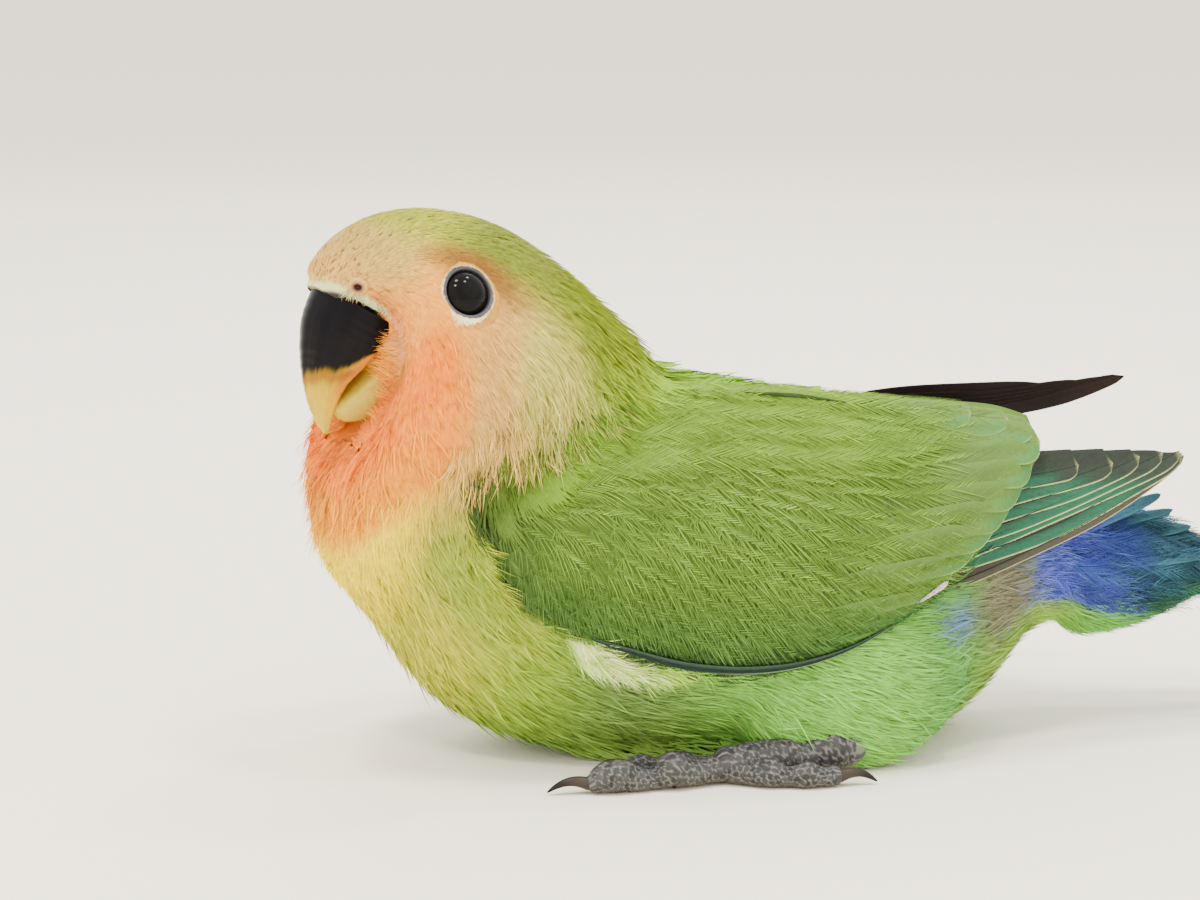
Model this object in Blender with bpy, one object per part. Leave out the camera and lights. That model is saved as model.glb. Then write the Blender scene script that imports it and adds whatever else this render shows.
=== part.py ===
"""Young rosy-faced lovebird, life size, resting on its belly with the head turned a little to its left.

Row frame: +Z up, the bill points to -X, the bird's left side is -Y. The belly and the toes rest on z = 0.
Shapes are worked out in millimetres in a straight "bird space" and pass through two steps:
turn_head() swings head and throat to the left, and place() turns millimetres into metres.
"""
import bpy
import bmesh
import numpy as np
from math import radians, sin, cos, pi
from mathutils import Matrix, Vector

MM = 0.001
GAP = 0.32            # between touching pieces, mm
HEAD_YAW = 20.0       # degrees to the bird's left
NECK_AXIS_X = -33.0
EYE_RADIUS = 3.6
EYE_SEAT = 2.45       # eyeball centre below the plumage surface, along its normal
EYE_XZ = (-54.7, 66.4)
RIGHT_WING_LIFT = -2.6 # degrees about the shoulder: the right wing droops a little
WING_HINGE = (-40.0, 34.0)
RIGHT_WING_OUT = 1.4  # mm, and stands off the back by this much

# Body stations from the tail root to the bill base, mm:
# dorsal x, z, ventral x, z, half width, level of the widest point, squareness
BODY = [
    ("tail_root", 36.5, 30.2, 36.6, 19.6,  7.0, .50, 2.0),
    ("rump",      31.0, 36.3, 31.8, 12.6, 11.8, .50, 2.0),
    ("vent",      23.3, 41.6, 25.2,  5.2, 16.0, .50, 2.1),
    ("thigh_r",   12.9, 46.0, 16.7, -0.3, 20.0, .48, 2.2),
    ("thigh_f",    1.2, 48.5,  3.4, -0.7, 22.0, .46, 2.25),
    ("loin",     -10.3, 50.5, -12.8, -0.7, 22.8, .45, 2.3),
    ("mantle",   -19.5, 52.8, -28.7, -0.3, 22.3, .45, 2.25),
    ("shoulder", -24.0, 57.6, -41.6,  2.2, 21.0, .45, 2.15),
    ("nape_low", -28.3, 62.2, -51.8,  7.9, 19.6, .46, 2.05),
    ("nape",     -33.0, 66.4, -59.6, 18.0, 18.6, .48, 2.0),
    ("hindneck", -38.2, 70.3, -66.2, 26.6, 17.5, .50, 2.0),
    ("hindcrown", -43.6, 73.4, -69.7, 34.4, 16.2, .52, 2.0),
    ("crown",    -49.2, 75.3, -69.4, 40.7, 15.1, .54, 2.0),
    ("forecrown", -55.0, 76.1, -66.6, 45.2, 14.0, .55, 2.0),
    ("brow",     -60.6, 75.5, -63.9, 49.6, 12.6, .56, 2.0),
    ("forehead", -65.6, 73.2, -63.4, 54.6, 10.6, .56, 2.05),
    ("front",    -69.2, 70.0, -64.6, 59.4,  7.6, .55, 2.1),
    ("cere",     -70.8, 66.8, -67.0, 62.2,  4.2, .52, 2.1),
]
NECK_FROM, NECK_TO = 8.7, 10.6      # the neck lies between these stations
RUMP_TO = 2.4                       # the rump lies behind this one
CUT = 0.045                         # half a thin cut, in stations

# Upper mandible: culmen x, z, cutting edge x, z, half width, widest level, squareness
BILL_UPPER = [
    (-69.9, 66.4, -60.6, 60.2, 4.9, .30, 2.3),
    (-71.3, 63.0, -62.4, 58.1, 4.8, .28, 2.25),
    (-71.9, 59.2, -64.7, 55.8, 4.4, .27, 2.2),
    (-71.9, 55.6, -66.6, 53.8, 3.8, .28, 2.1),
    (-71.5, 52.5, -67.7, 51.6, 3.0, .32, 2.05),
    (-70.9, 50.0, -68.2, 49.4, 2.0, .40, 2.0),
    (-70.0, 48.1, -68.5, 47.8, 1.0, .50, 2.0),
    (-69.2, 47.0, -68.7, 46.9, 0.35, .50, 2.0),
]
# Lower mandible: cutting edge x, z, keel x, z, half width
BILL_LOWER = [
    (-60.4, 59.2, -57.8, 51.6, 4.3, .55, 2.2),
    (-62.6, 56.8, -60.6, 49.9, 4.2, .55, 2.2),
    (-64.6, 54.4, -63.0, 48.8, 3.9, .55, 2.2),
    (-66.0, 52.4, -65.2, 48.6, 3.3, .55, 2.3),
    (-66.9, 51.2, -66.5, 49.2, 2.5, .55, 2.4),
]
CERE = [
    (-69.9, 66.9, -60.3, 60.6, 5.2, .30, 2.3),
    (-69.8, 68.2, -60.0, 61.4, 5.9, .32, 2.3),
    (-69.0, 69.5, -59.5, 62.4, 6.1, .34, 2.3),
]

# Folded wing, outer surface: x, top y, z, middle y, z, bottom y, z, thickness
WING = [
    (-47.6, 17.3, 35.2, 17.9, 33.2, 17.8, 31.5, 3.0),
    (-44.6, 17.6, 39.6, 20.4, 32.4, 19.2, 27.0, 4.5),
    (-38.5, 16.4, 45.4, 22.8, 32.0, 20.8, 22.2, 6.0),
    (-30.0, 13.0, 50.6, 24.6, 32.0, 22.4, 18.9, 7.0),
    (-20.0, 10.0, 52.4, 25.5, 32.0, 23.3, 16.0, 7.0),
    (-10.0,  8.4, 51.7, 25.6, 31.8, 23.5, 15.2, 7.0),
    (0.0,    8.0, 50.6, 25.0, 32.0, 22.8, 16.8, 6.0),
    (10.0,   8.0, 49.6, 23.4, 33.5, 21.3, 21.0, 4.5),
    (19.0,   8.2, 48.8, 20.6, 36.6, 19.2, 26.6, 3.0),
    (26.0,   8.8, 47.9, 17.0, 41.0, 16.6, 34.4, 2.0),
    (31.0,  10.2, 46.2, 13.3, 44.0, 14.0, 41.0, 1.2),
]
# Primaries showing behind the folded wing: x, top y, z, bottom y, z
PRIMARIES = [
    (14.0, 17.0, 36.0, 18.6, 23.2),
    (22.0, 14.2, 40.6, 17.2, 24.9),
    (31.0, 12.2, 41.8, 15.6, 27.7),
    (40.0, 11.0, 41.8, 13.9, 32.1),
    (47.5, 10.4, 41.4, 12.2, 36.6),
    (52.0, 10.2, 40.7, 10.9, 39.2),
    (53.4, 10.3, 40.2, 10.5, 39.8),
]
# The right wing's primaries lie higher, across the back
PRIMARIES_RIGHT = [
    (8.0,  6.4, 45.9, 12.0, 41.0),
    (16.0, 6.4, 47.6, 13.4, 40.0),
    (26.0, 7.0, 48.6, 14.0, 40.2),
    (36.0, 7.5, 48.6, 12.6, 42.0),
    (43.0, 8.0, 48.6, 11.0, 43.4),
    (48.5, 8.3, 48.8, 9.8, 46.4),
    (51.8, 8.6, 48.7, 9.0, 48.1),
]
PRIMARY_THICK = 1.1

# Tail: coverts (dorsal x, z, ventral x, z, half width) and the fan of tail feathers
TAIL_COVERTS = [
    (36.9, 31.4, 37.2, 15.4, 9.0, .5, 2.2),
    (42.0, 31.4, 41.5, 13.0, 9.4, .5, 2.2),
    (48.0, 30.6, 47.0, 13.4, 9.2, .5, 2.2),
    (54.0, 28.6, 52.5, 15.2, 8.5, .5, 2.2),
    (59.5, 26.0, 58.0, 18.0, 7.4, .5, 2.1),
    (63.0, 23.6, 62.4, 20.2, 5.6, .5, 2.0),
]
# half width of the fan along x; the fan droops a little to its tip and arches across
TAIL_FAN = [(50.0, 6.2), (56.0, 7.6), (62.0, 8.8), (66.5, 9.3), (70.0, 8.7), (72.6, 7.2), (74.4, 5.0), (75.4, 2.2)]
TAIL_LEVEL, TAIL_TIP_LEVEL, TAIL_THICK, TAIL_ARCH = 21.9, 19.2, 1.3, 0.028

# Left foot, its tarsus lying on the floor: (x, y, z, radius) from the heel to the joint, and along each toe
JOINT = (-15.0, -23.0, 2.3, 2.2)
FOOT = {
    "tarsus": [(3.6, -21.2, 3.0, 2.0), (1.4, -21.5, 3.5, 2.9), (-2.2, -21.9, 3.2, 2.6), (-6.0, -22.3, 3.0, 2.3), (-10.5, -22.7, 2.6, 2.2), JOINT],
    "toe_3": [(-14.5, -23.1, 2.1, 1.95), (-18.8, -23.9, 1.7, 1.75), (-22.3, -24.5, 1.8, 2.05), (-25.6, -24.8, 1.5, 1.6), (-28.6, -24.9, 1.55, 1.7), (-31.0, -24.9, 1.55, 1.75), (-33.0, -24.9, 1.25, 1.35)],
    "toe_4": [(-15.0, -23.4, 2.0, 1.8), (-11.8, -25.0, 1.6, 1.65), (-8.8, -26.3, 1.55, 1.8), (-6.0, -27.0, 1.3, 1.4), (-3.4, -27.3, 1.4, 1.6), (-1.0, -27.3, 1.2, 1.25)],
    "toe_2": [(-14.7, -22.5, 2.05, 1.85), (-18.4, -20.9, 1.6, 1.6), (-21.6, -19.6, 1.5, 1.75), (-24.6, -18.7, 1.2, 1.3), (-26.8, -18.2, 1.2, 1.35)],
    "toe_1": [(-15.2, -22.3, 1.95, 1.7), (-12.0, -20.0, 1.5, 1.5), (-9.4, -18.7, 1.35, 1.5), (-7.4, -18.0, 1.1, 1.2)],
}
CLAWS = {"toe_3": ((-1.0, 0.02), 5.0), "toe_4": ((1.0, -0.02), 4.6), "toe_2": ((-0.97, 0.25), 4.4), "toe_1": ((0.95, 0.3), 3.4)}
THIGH = ((4.0, 18.0, 10.6), (16.0, 6.4, 11.4), -16.0)   # centre x, lateral y, z; radii; tilt in degrees

COLOURS = {   # linear colour, roughness
    "plumage_head": ((0.55, 0.38, 0.22), 0.8),
    "plumage_neck": ((0.80, 0.36, 0.16), 0.8),
    "plumage_body": ((0.42, 0.55, 0.18), 0.8),
    "plumage_wing": ((0.16, 0.32, 0.05), 0.75),
    "flight": ((0.05, 0.18, 0.11), 0.6),
    "plumage_tail": ((0.07, 0.16, 0.60), 0.75),
    "bill": ((0.03, 0.02, 0.025), 0.3),
    "bill_low": ((0.75, 0.55, 0.12), 0.35),
    "cere": ((0.62, 0.63, 0.52), 0.5),
    "eye": ((0.004, 0.004, 0.005), 0.06),
    "foot": ((0.24, 0.21, 0.20), 0.7),
    "claw": ((0.16, 0.14, 0.13), 0.4),
}


def smoothstep(a, b, x):
    t = np.clip((x - a) / (b - a), 0, 1)
    return t * t * (3 - 2 * t)


def turn_head(p):
    """Swings what lies above and in front of the shoulders about the neck's upright axis."""
    p = np.asarray(p, float)
    along = (p[..., 2] - 46) * 0.80 - (p[..., 0] + 45) * 0.60
    a = smoothstep(-11, 9, along) * radians(HEAD_YAW)
    c, s = np.cos(a), np.sin(a)
    dx, y = p[..., 0] - NECK_AXIS_X, p[..., 1]
    return np.stack([NECK_AXIS_X + dx * c - y * s, dx * s + y * c, p[..., 2]], -1)


def spline(table, u):
    """A smooth curve through the rows of a table, u counted in rows."""
    table = np.asarray(table, float)
    n = len(table)
    u = np.clip(np.asarray(u, float), 0, n - 1)
    i = np.minimum(u.astype(int), n - 2)
    t = (u - i)[..., None]
    m = np.empty_like(table)
    m[1:-1] = (table[2:] - table[:-2]) / 2
    m[0], m[-1] = table[1] - table[0], table[-1] - table[-2]
    t2, t3 = t * t, t * t * t
    return (table[i] * (2 * t3 - 3 * t2 + 1) + m[i] * (t3 - 2 * t2 + t)
            + table[i + 1] * (3 * t2 - 2 * t3) + m[i + 1] * (t3 - t2))


def section(row, phi):
    """Superellipse between the dorsal and ventral points of a station."""
    D, V, w, m, e = row[0:2], row[2:4], row[4], row[5], row[6]
    C = V + (D - V) * m
    c, s = np.cos(phi), np.sin(phi)
    cc, ss = np.sign(c) * np.abs(c) ** (2 / e), np.sign(s) * np.abs(s) ** (2 / e)
    arm = np.where((c > 0)[:, None], D - C, C - V)
    xz = C + arm * cc[:, None]
    return np.stack([xz[:, 0], -w * ss, xz[:, 1]], -1)


def rings_of(table, u0, u1, count, around, round_start=0.0, round_end=0.0):
    """Rings of a loft from station u0 to u1, with rounded ends of the given depth in mm."""
    phi = np.arange(around) * 2 * pi / around
    rings = [section(spline(table, u), phi) for u in np.linspace(u0, u1, count)]
    for end, depth in ((0, round_start), (-1, round_end)):
        if not depth:
            continue
        ring = rings[end]
        mid = ring.mean(0)
        out = mid - rings[1 if end == 0 else -2].mean(0)
        out = out / np.linalg.norm(out)
        caps = [mid + (ring - mid) * cos(a) + out * depth * sin(a) for a in np.radians([40, 70])]
        rings = caps[::-1] + rings if end == 0 else rings + caps
    return rings


def new_object(name, mesh, slot):
    obj = bpy.data.objects.new(name, mesh)
    bird.objects.link(obj)
    mesh.materials.clear()
    mesh.materials.append(material(slot))
    return obj


def material(slot):
    found = bpy.data.materials.get(slot)
    if found:
        return found
    colour, rough = COLOURS[slot]
    made = bpy.data.materials.new(slot)
    made.use_nodes = True
    shader = made.node_tree.nodes["Principled BSDF"]
    shader.inputs["Base Color"].default_value = (*colour, 1)
    shader.inputs["Roughness"].default_value = rough
    shader.inputs["Metallic"].default_value = 0.0
    return made


def loft(name, rings, slot, warp=turn_head, mirror=False):
    """Closed loft through rings of equal count, flat-capped at both ends."""
    bm = bmesh.new()
    rows = []
    for ring in rings:
        pts = warp(ring) if warp else ring
        pts = np.array(pts, float)
        if mirror:
            pts[:, 1] *= -1
        rows.append([bm.verts.new(Vector(p) * MM) for p in pts])
    n = len(rows[0])
    for a, b in zip(rows[:-1], rows[1:]):
        for j in range(n):
            bm.faces.new((a[j], a[(j + 1) % n], b[(j + 1) % n], b[j]))
    for row in (rows[0], rows[-1]):
        hub = bm.verts.new(sum((v.co for v in row), Vector()) / n)
        for j in range(n):
            bm.faces.new((row[j], row[(j + 1) % n], hub))
    bmesh.ops.recalc_face_normals(bm, faces=bm.faces)
    mesh = bpy.data.meshes.new(name)
    bm.to_mesh(mesh)
    bm.free()
    return new_object(name, mesh, slot)


def tube(name, path, slot, sides=8, warp=None, mirror=False):
    """Tapered tube through (x, y, z, radius) points, with round ends."""
    rows = np.array(path, float)
    n = len(rows)
    c, r = rows[:, :3], rows[:, 3]
    t = np.gradient(c, axis=0)
    t /= np.linalg.norm(t, axis=1)[:, None]
    phi = np.arange(sides) * 2 * pi / sides
    rings = []
    for k in range(n):
        side = np.cross([0, 0, 1.0], t[k])
        side = side / np.linalg.norm(side)
        up = np.cross(t[k], side)
        rings.append(c[k] + r[k] * (np.cos(phi)[:, None] * up + np.sin(phi)[:, None] * side))
    for end in (0, -1):
        out = t[end] * (-1 if end == 0 else 1)
        caps = [c[end] + (rings[end] - c[end]) * cos(a) + out * r[end] * sin(a) for a in np.radians([50])]
        rings = caps[::-1] + rings if end == 0 else rings + caps
    return loft(name, rings, slot, warp, mirror)


def cutter(obj):
    """Moves an object among the hidden cutters."""
    bird.objects.unlink(obj)
    cutters.objects.link(obj)
    hide(obj)
    return obj


def inflated(obj, by=GAP):
    """A hidden copy of a solid, grown by a gap, to cut its neighbours with."""
    copy = bpy.data.objects.new("cut_" + obj.name, obj.data.copy())
    cutters.objects.link(copy)
    grow = copy.modifiers.new("grow", "DISPLACE")
    grow.strength, grow.mid_level = by * MM, 0.0
    hide(copy)
    bake(copy)
    return copy


def hide(obj):
    obj.hide_render = True
    obj.display_type = "WIRE"


def bake(obj):
    """Replaces an object's mesh by what its modifiers make of it."""
    bpy.context.view_layer.update()
    graph = bpy.context.evaluated_depsgraph_get()
    made = bpy.data.meshes.new_from_object(obj.evaluated_get(graph))
    obj.modifiers.clear()
    obj.data = made


def boolean(obj, other, operation="DIFFERENCE"):
    mod = obj.modifiers.new(operation.lower(), "BOOLEAN")
    mod.operation, mod.object, mod.solver = operation, other, "EXACT"
    bake(obj)
    keep_largest(obj)


def keep_largest(obj):
    """Drops loose crumbs that a cut leaves."""
    bm = bmesh.new()
    bm.from_mesh(obj.data)
    bm.verts.ensure_lookup_table()
    seen, islands = set(), []
    for start in bm.verts:
        if start.index in seen:
            continue
        stack, island = [start], []
        seen.add(start.index)
        while stack:
            v = stack.pop()
            island.append(v)
            for e in v.link_edges:
                o = e.other_vert(v)
                if o.index not in seen:
                    seen.add(o.index)
                    stack.append(o)
        islands.append(island)
    islands.sort(key=len, reverse=True)
    loose = [v for island in islands[1:] for v in island]
    bmesh.ops.delete(bm, geom=loose, context="VERTS")
    bm.to_mesh(obj.data)
    bm.free()


def box(name, low, high):
    bm = bmesh.new()
    bmesh.ops.create_cube(bm, size=1.0)
    mesh = bpy.data.meshes.new(name)
    size = [(h - l) * MM for l, h in zip(low, high)]
    mid = [(h + l) / 2 * MM for l, h in zip(low, high)]
    bmesh.ops.transform(bm, matrix=Matrix.Translation(mid) @ Matrix.Diagonal((*size, 1)), verts=bm.verts)
    bm.to_mesh(mesh)
    bm.free()
    obj = bpy.data.objects.new(name, mesh)
    cutters.objects.link(obj)
    hide(obj)
    return obj


def wing_curve(row, a):
    """Point of a wing section: a = 0 at the upper edge, 1 at the lower, bulging through the middle."""
    top, mid, low = row[1:3], row[3:5], row[5:7]
    ctrl = 2 * mid - (top + low) / 2
    return ((1 - a) ** 2)[:, None] * top + (2 * a * (1 - a))[:, None] * ctrl + (a ** 2)[:, None] * low


def wing_rings(count=14, across=8, grow=0.0):
    """Closed section loops of the folded wing: outer curve, then the inner one back."""
    a = np.linspace(0, 1, across)
    rings = []
    for u in np.linspace(0, len(WING) - 1, count):
        row = spline(WING, u)
        outer = wing_curve(row, a)
        d = np.gradient(outer, axis=0)
        normal = np.stack([d[:, 1], -d[:, 0]], -1)     # in (y, z), pointing inwards
        normal /= np.linalg.norm(normal, axis=1)[:, None]
        depth = row[7] * (0.30 + 0.70 * np.sin(pi * np.clip(a * 0.92 + 0.04, 0, 1)) ** 0.7)
        inner = outer + normal * (depth + grow)[:, None]
        outer = outer - normal * grow
        if grow:
            step = d / np.linalg.norm(d, axis=1)[:, None] * grow
            outer[0], inner[0] = outer[0] - step[0], inner[0] - step[0]
            outer[-1], inner[-1] = outer[-1] + step[-1], inner[-1] + step[-1]
        yz = np.concatenate([outer, inner[::-1]])
        rings.append(np.stack([np.full(len(yz), row[0]), -yz[:, 0], yz[:, 1]], -1))
    if grow:
        for k, sign in ((0, -1), (-1, 1)):
            extra = rings[k].copy()
            extra[:, 0] += sign * grow
            rings = [extra] + rings if k == 0 else rings + [extra]
    return rings


def primary_rings(table, count=10, across=3, grow=0.0):
    """Closed section loops of the plate of primaries."""
    a = np.linspace(0, 1, across)
    rings = []
    for u in np.linspace(0, len(table) - 1, count):
        x, ty, tz, by, bz = spline(table, u)
        ends = max(0.45, min(1.0, (len(table) - 1 - u) * 0.8))
        chord = np.array([by - ty, bz - tz])
        chord /= np.linalg.norm(chord)
        span = a + (a * 2 - 1) * grow / np.hypot(by - ty, bz - tz)
        y, z = ty + (by - ty) * span, tz + (bz - tz) * span
        across_dir = np.array([chord[1], -chord[0]])
        t = PRIMARY_THICK * ends / 2 + grow
        out = np.stack([np.full(across, x), -(y - across_dir[0] * t), z - across_dir[1] * t], -1)
        inn = np.stack([np.full(across, x), -(y + across_dir[0] * t), z + across_dir[1] * t], -1)
        rings.append(np.concatenate([out, inn[::-1]]))
    return rings


def lifted(points, degrees, out=0.0):
    """Turns a wing about its shoulder in the side plane, tip up, and moves it away from the body."""
    a = radians(degrees)
    p = np.array(points, float)
    dx, dz = p[..., 0] - WING_HINGE[0], p[..., 2] - WING_HINGE[1]
    p[..., 0] = WING_HINGE[0] + dx * cos(a) - dz * sin(a)
    p[..., 2] = WING_HINGE[1] + dx * sin(a) + dz * cos(a)
    p[..., 1] -= out
    return p


def claw_path(start, direction, length):
    """Curved, tapering claw that ends on the floor."""
    x, y, z, r = start
    d = np.array([*direction, 0.0])
    d /= np.linalg.norm(d)
    path = []
    for k in np.linspace(0, 1, 5):
        lift = z * (1 - k ** 2.2) + 0.30 * k + 0.45 * sin(pi * k)
        path.append((*(np.array([x, y, 0]) + d * (r * 0.9 + length * k))[:2], lift, 0.70 * (1 - k) ** 0.75 + 0.25))
    return path


def grown(path):
    return [(x, y, z, r + GAP) for x, y, z, r in path]


# ---------------------------------------------------------------- build
for old in list(bpy.data.objects):
    bpy.data.objects.remove(old)
bird = bpy.data.collections.new("lovebird")
cutters = bpy.data.collections.new("cutters")
for collection in (bird, cutters):
    bpy.context.scene.collection.children.link(collection)

stations = np.array([row[1:] for row in BODY], float)
last = len(stations) - 1
floor = box("cut_floor", (-120, -60, -30), (120, 60, 0))

# The body is one loft, parted by thin cuts
whole = cutter(loft("cut_whole", rings_of(stations, 0, last, 40, 28, 1.5, 1.0), "plumage_body"))
body_cut = inflated(whole)
body_cut.name = "cut_body"
parts = {}
for name, u0, u1, count, slot, r0, r1 in (
    ("head", NECK_TO + CUT, last, 14, "plumage_head", 0, 1.0),
    ("neck", NECK_FROM + CUT, NECK_TO - CUT, 5, "plumage_neck", 0, 0),
    ("trunk", RUMP_TO + CUT, NECK_FROM - CUT, 13, "plumage_body", 0, 0),
    ("rump", 0, RUMP_TO - CUT, 5, "plumage_body", 1.5, 0),
):
    parts[name] = loft(name, rings_of(stations, u0, u1, count, 28, r0, r1), slot)

# Bill, cere and eyes, seated in the head
upper = loft("bill_upper", rings_of(BILL_UPPER, 0, len(BILL_UPPER) - 1, 9, 14, 0, 0.3), "bill")
lower = loft("bill_lower", rings_of(BILL_LOWER, 0, len(BILL_LOWER) - 1, 5, 12, 0, 0.3), "bill_low")
cere = loft("cere", rings_of(CERE, 0, len(CERE) - 1, 3, 16), "cere")
boolean(lower, inflated(upper))
boolean(cere, inflated(upper))
cuts = [inflated(o) for o in (upper, lower, cere)]
for side, sign in (("left", -1), ("right", 1)):
    # the plumage surface at the eye and its normal, found on the loft
    u, phi = np.meshgrid(np.linspace(11, last, 121), np.linspace(0.3, pi - 0.3, 121), indexing="ij")
    grid = np.stack([section(spline(stations, a), b) for a, b in zip(u[:, 0], phi)])
    near = np.hypot(grid[..., 0] - EYE_XZ[0], grid[..., 2] - EYE_XZ[1])
    i, j = np.unravel_index(near.argmin(), near.shape)
    normal = np.cross(grid[i + 1, j] - grid[i - 1, j], grid[i, j + 1] - grid[i, j - 1])
    normal *= np.sign(-normal[1]) / np.linalg.norm(normal)
    centre = grid[i, j] - normal * EYE_SEAT
    centre[1] *= -sign
    centre = turn_head(centre)
    bm = bmesh.new()
    bmesh.ops.create_uvsphere(bm, u_segments=14, v_segments=8, radius=EYE_RADIUS * MM)
    mesh = bpy.data.meshes.new("eye_" + side)
    bm.to_mesh(mesh)
    bm.free()
    eye = new_object("eye_" + side, mesh, "eye")
    eye.location = Vector(centre) * MM
    bpy.context.view_layer.update()
    socket = inflated(eye)
    socket.matrix_world = eye.matrix_world
    bpy.context.view_layer.update()
    cuts.append(socket)
for cut in cuts:
    boolean(parts["head"], cut)

# Wings and their primaries, thighs
for side, mirror, lift, out, primaries in (
    ("left", False, 0.0, 0.0, PRIMARIES),
    ("right", True, RIGHT_WING_LIFT, RIGHT_WING_OUT, PRIMARIES_RIGHT),
):
    def warp(p, lift=lift, out=out):
        return lifted(p, lift, out)
    wing = loft("wing_" + side, wing_rings(), "plumage_wing", warp, mirror)
    boolean(wing, body_cut)
    wing_cut = cutter(loft("cut_wing_" + side, wing_rings(grow=GAP), "plumage_wing", warp, mirror))
    flight = loft("primaries_" + side, primary_rings(primaries), "flight", None, mirror)
    boolean(flight, wing_cut)
    boolean(flight, body_cut)
    flight_cut = cutter(loft("cut_primaries_" + side, primary_rings(primaries, grow=GAP), "flight", None, mirror))
    # foot: tarsus and toes in one piece, each claw its own
    foot = tube("foot_" + side, FOOT["tarsus"], "foot", mirror=mirror)
    for name in list(FOOT)[1:]:
        toe = cutter(tube("cut_add_" + name, FOOT[name], "foot", mirror=mirror))
        boolean(foot, toe, "UNION")
    boolean(foot, floor)
    boolean(foot, body_cut)
    foot_cuts = [cutter(tube("cut_" + name, grown(path), "foot", mirror=mirror)) for name, path in FOOT.items()]
    for name, (direction, length) in CLAWS.items():
        path = claw_path(FOOT[name][-1], direction, length)
        nail = tube("claw_%s_%s" % (name[-1], side), path, "claw", sides=6, mirror=mirror)
        boolean(nail, floor)
        foot_cuts.append(cutter(tube("cut_claw", grown(path), "claw", sides=6, mirror=mirror)))
        boolean(foot, foot_cuts[-1])
    # thigh plumage: an ellipsoid against the flank, below the wing and over the heel
    (cx, cy, cz), radii, tilt = THIGH
    bm = bmesh.new()
    bmesh.ops.create_uvsphere(bm, u_segments=18, v_segments=10, radius=1.0)
    sign = 1 if mirror else -1
    turn = (Matrix.Translation(Vector((cx, sign * cy, cz)) * MM) @ Matrix.Rotation(radians(tilt), 4, "Y")
            @ Matrix.Diagonal((*[r * MM for r in radii], 1)))
    bmesh.ops.transform(bm, matrix=turn, verts=bm.verts)
    mesh = bpy.data.meshes.new("thigh_" + side)
    bm.to_mesh(mesh)
    bm.free()
    thigh = new_object("thigh_" + side, mesh, "plumage_body")
    for cut in [body_cut, wing_cut, flight_cut, floor] + foot_cuts:
        boolean(thigh, cut)

# Tail: coverts, then the fan of tail feathers
coverts = loft("tail_coverts", rings_of(TAIL_COVERTS, 0, len(TAIL_COVERTS) - 1, 6, 16, 0, 0.8), "plumage_tail", None)
boolean(coverts, body_cut)
rings = []
for x, half in spline(TAIL_FAN, np.linspace(0, len(TAIL_FAN) - 1, 9)):
    level = TAIL_LEVEL + (TAIL_TIP_LEVEL - TAIL_LEVEL) * (x - TAIL_FAN[0][0]) / (TAIL_FAN[-1][0] - TAIL_FAN[0][0])
    y = np.linspace(-half, half, 7)
    z = level - TAIL_ARCH * y ** 2
    top = np.stack([np.full(7, x), y, z + TAIL_THICK / 2], -1)
    low = np.stack([np.full(7, x), y, z - TAIL_THICK / 2], -1)
    rings.append(np.concatenate([top, low[::-1]]))
tail = loft("tail", rings, "flight", None)
boolean(tail, inflated(coverts))

# Flats where the belly rests on the floor
for name in ("trunk", "rump", "neck"):
    boolean(parts[name], floor)

# The origin: middle of the bounding box, on the floor
low, high = Vector((1e9,) * 3), Vector((-1e9,) * 3)
for obj in bird.objects:
    for v in obj.data.vertices:
        p = obj.matrix_world @ v.co
        low, high = Vector(map(min, low, p)), Vector(map(max, high, p))
middle = (low + high) / 2
origin = bpy.data.objects.new("lovebird_origin", None)
bird.objects.link(origin)
origin.location = (-middle.x, -middle.y, 0)
for obj in list(bird.objects):
    if obj is origin:
        continue
    obj.parent = origin
    if obj.type == "MESH":
        obj.data.shade_smooth()
        obj.data.set_sharp_from_angle(angle=radians(40))
print("origin shift mm", tuple(round(v / MM, 3) for v in origin.location), "size mm", [round((h - l) / MM, 2) for l, h in zip(low, high)], "lowest", round(low.z / MM, 3))
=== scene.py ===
from math import cos, pi, radians, sin

import bmesh
import bpy
import numpy as np
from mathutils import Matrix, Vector


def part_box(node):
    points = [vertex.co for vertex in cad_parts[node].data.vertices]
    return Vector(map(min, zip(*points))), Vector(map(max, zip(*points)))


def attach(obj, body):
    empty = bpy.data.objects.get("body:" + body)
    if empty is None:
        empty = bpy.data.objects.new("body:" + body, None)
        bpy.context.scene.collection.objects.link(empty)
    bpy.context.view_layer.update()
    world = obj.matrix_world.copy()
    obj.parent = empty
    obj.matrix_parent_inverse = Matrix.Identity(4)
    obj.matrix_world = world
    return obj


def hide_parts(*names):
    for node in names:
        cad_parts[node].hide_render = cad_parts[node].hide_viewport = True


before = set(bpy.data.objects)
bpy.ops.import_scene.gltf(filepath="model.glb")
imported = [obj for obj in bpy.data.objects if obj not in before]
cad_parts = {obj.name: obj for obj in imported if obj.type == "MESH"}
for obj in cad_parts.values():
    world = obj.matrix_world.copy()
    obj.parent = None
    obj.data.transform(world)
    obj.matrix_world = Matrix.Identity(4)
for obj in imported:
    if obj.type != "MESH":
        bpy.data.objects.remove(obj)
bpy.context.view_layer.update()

# Young rosy-faced lovebird. Shapes are worked out in millimetres with the bill towards -X,
# the bird's left side at -Y and the floor at z = 0, then moved by ORIGIN and scaled to metres.
MM = 0.001
ORIGIN = np.array([-2.77, 0.0, 0.0])
HEAD_YAW, NECK_AXIS_X = 20.0, -33.0
rng = np.random.default_rng(20)

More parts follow.
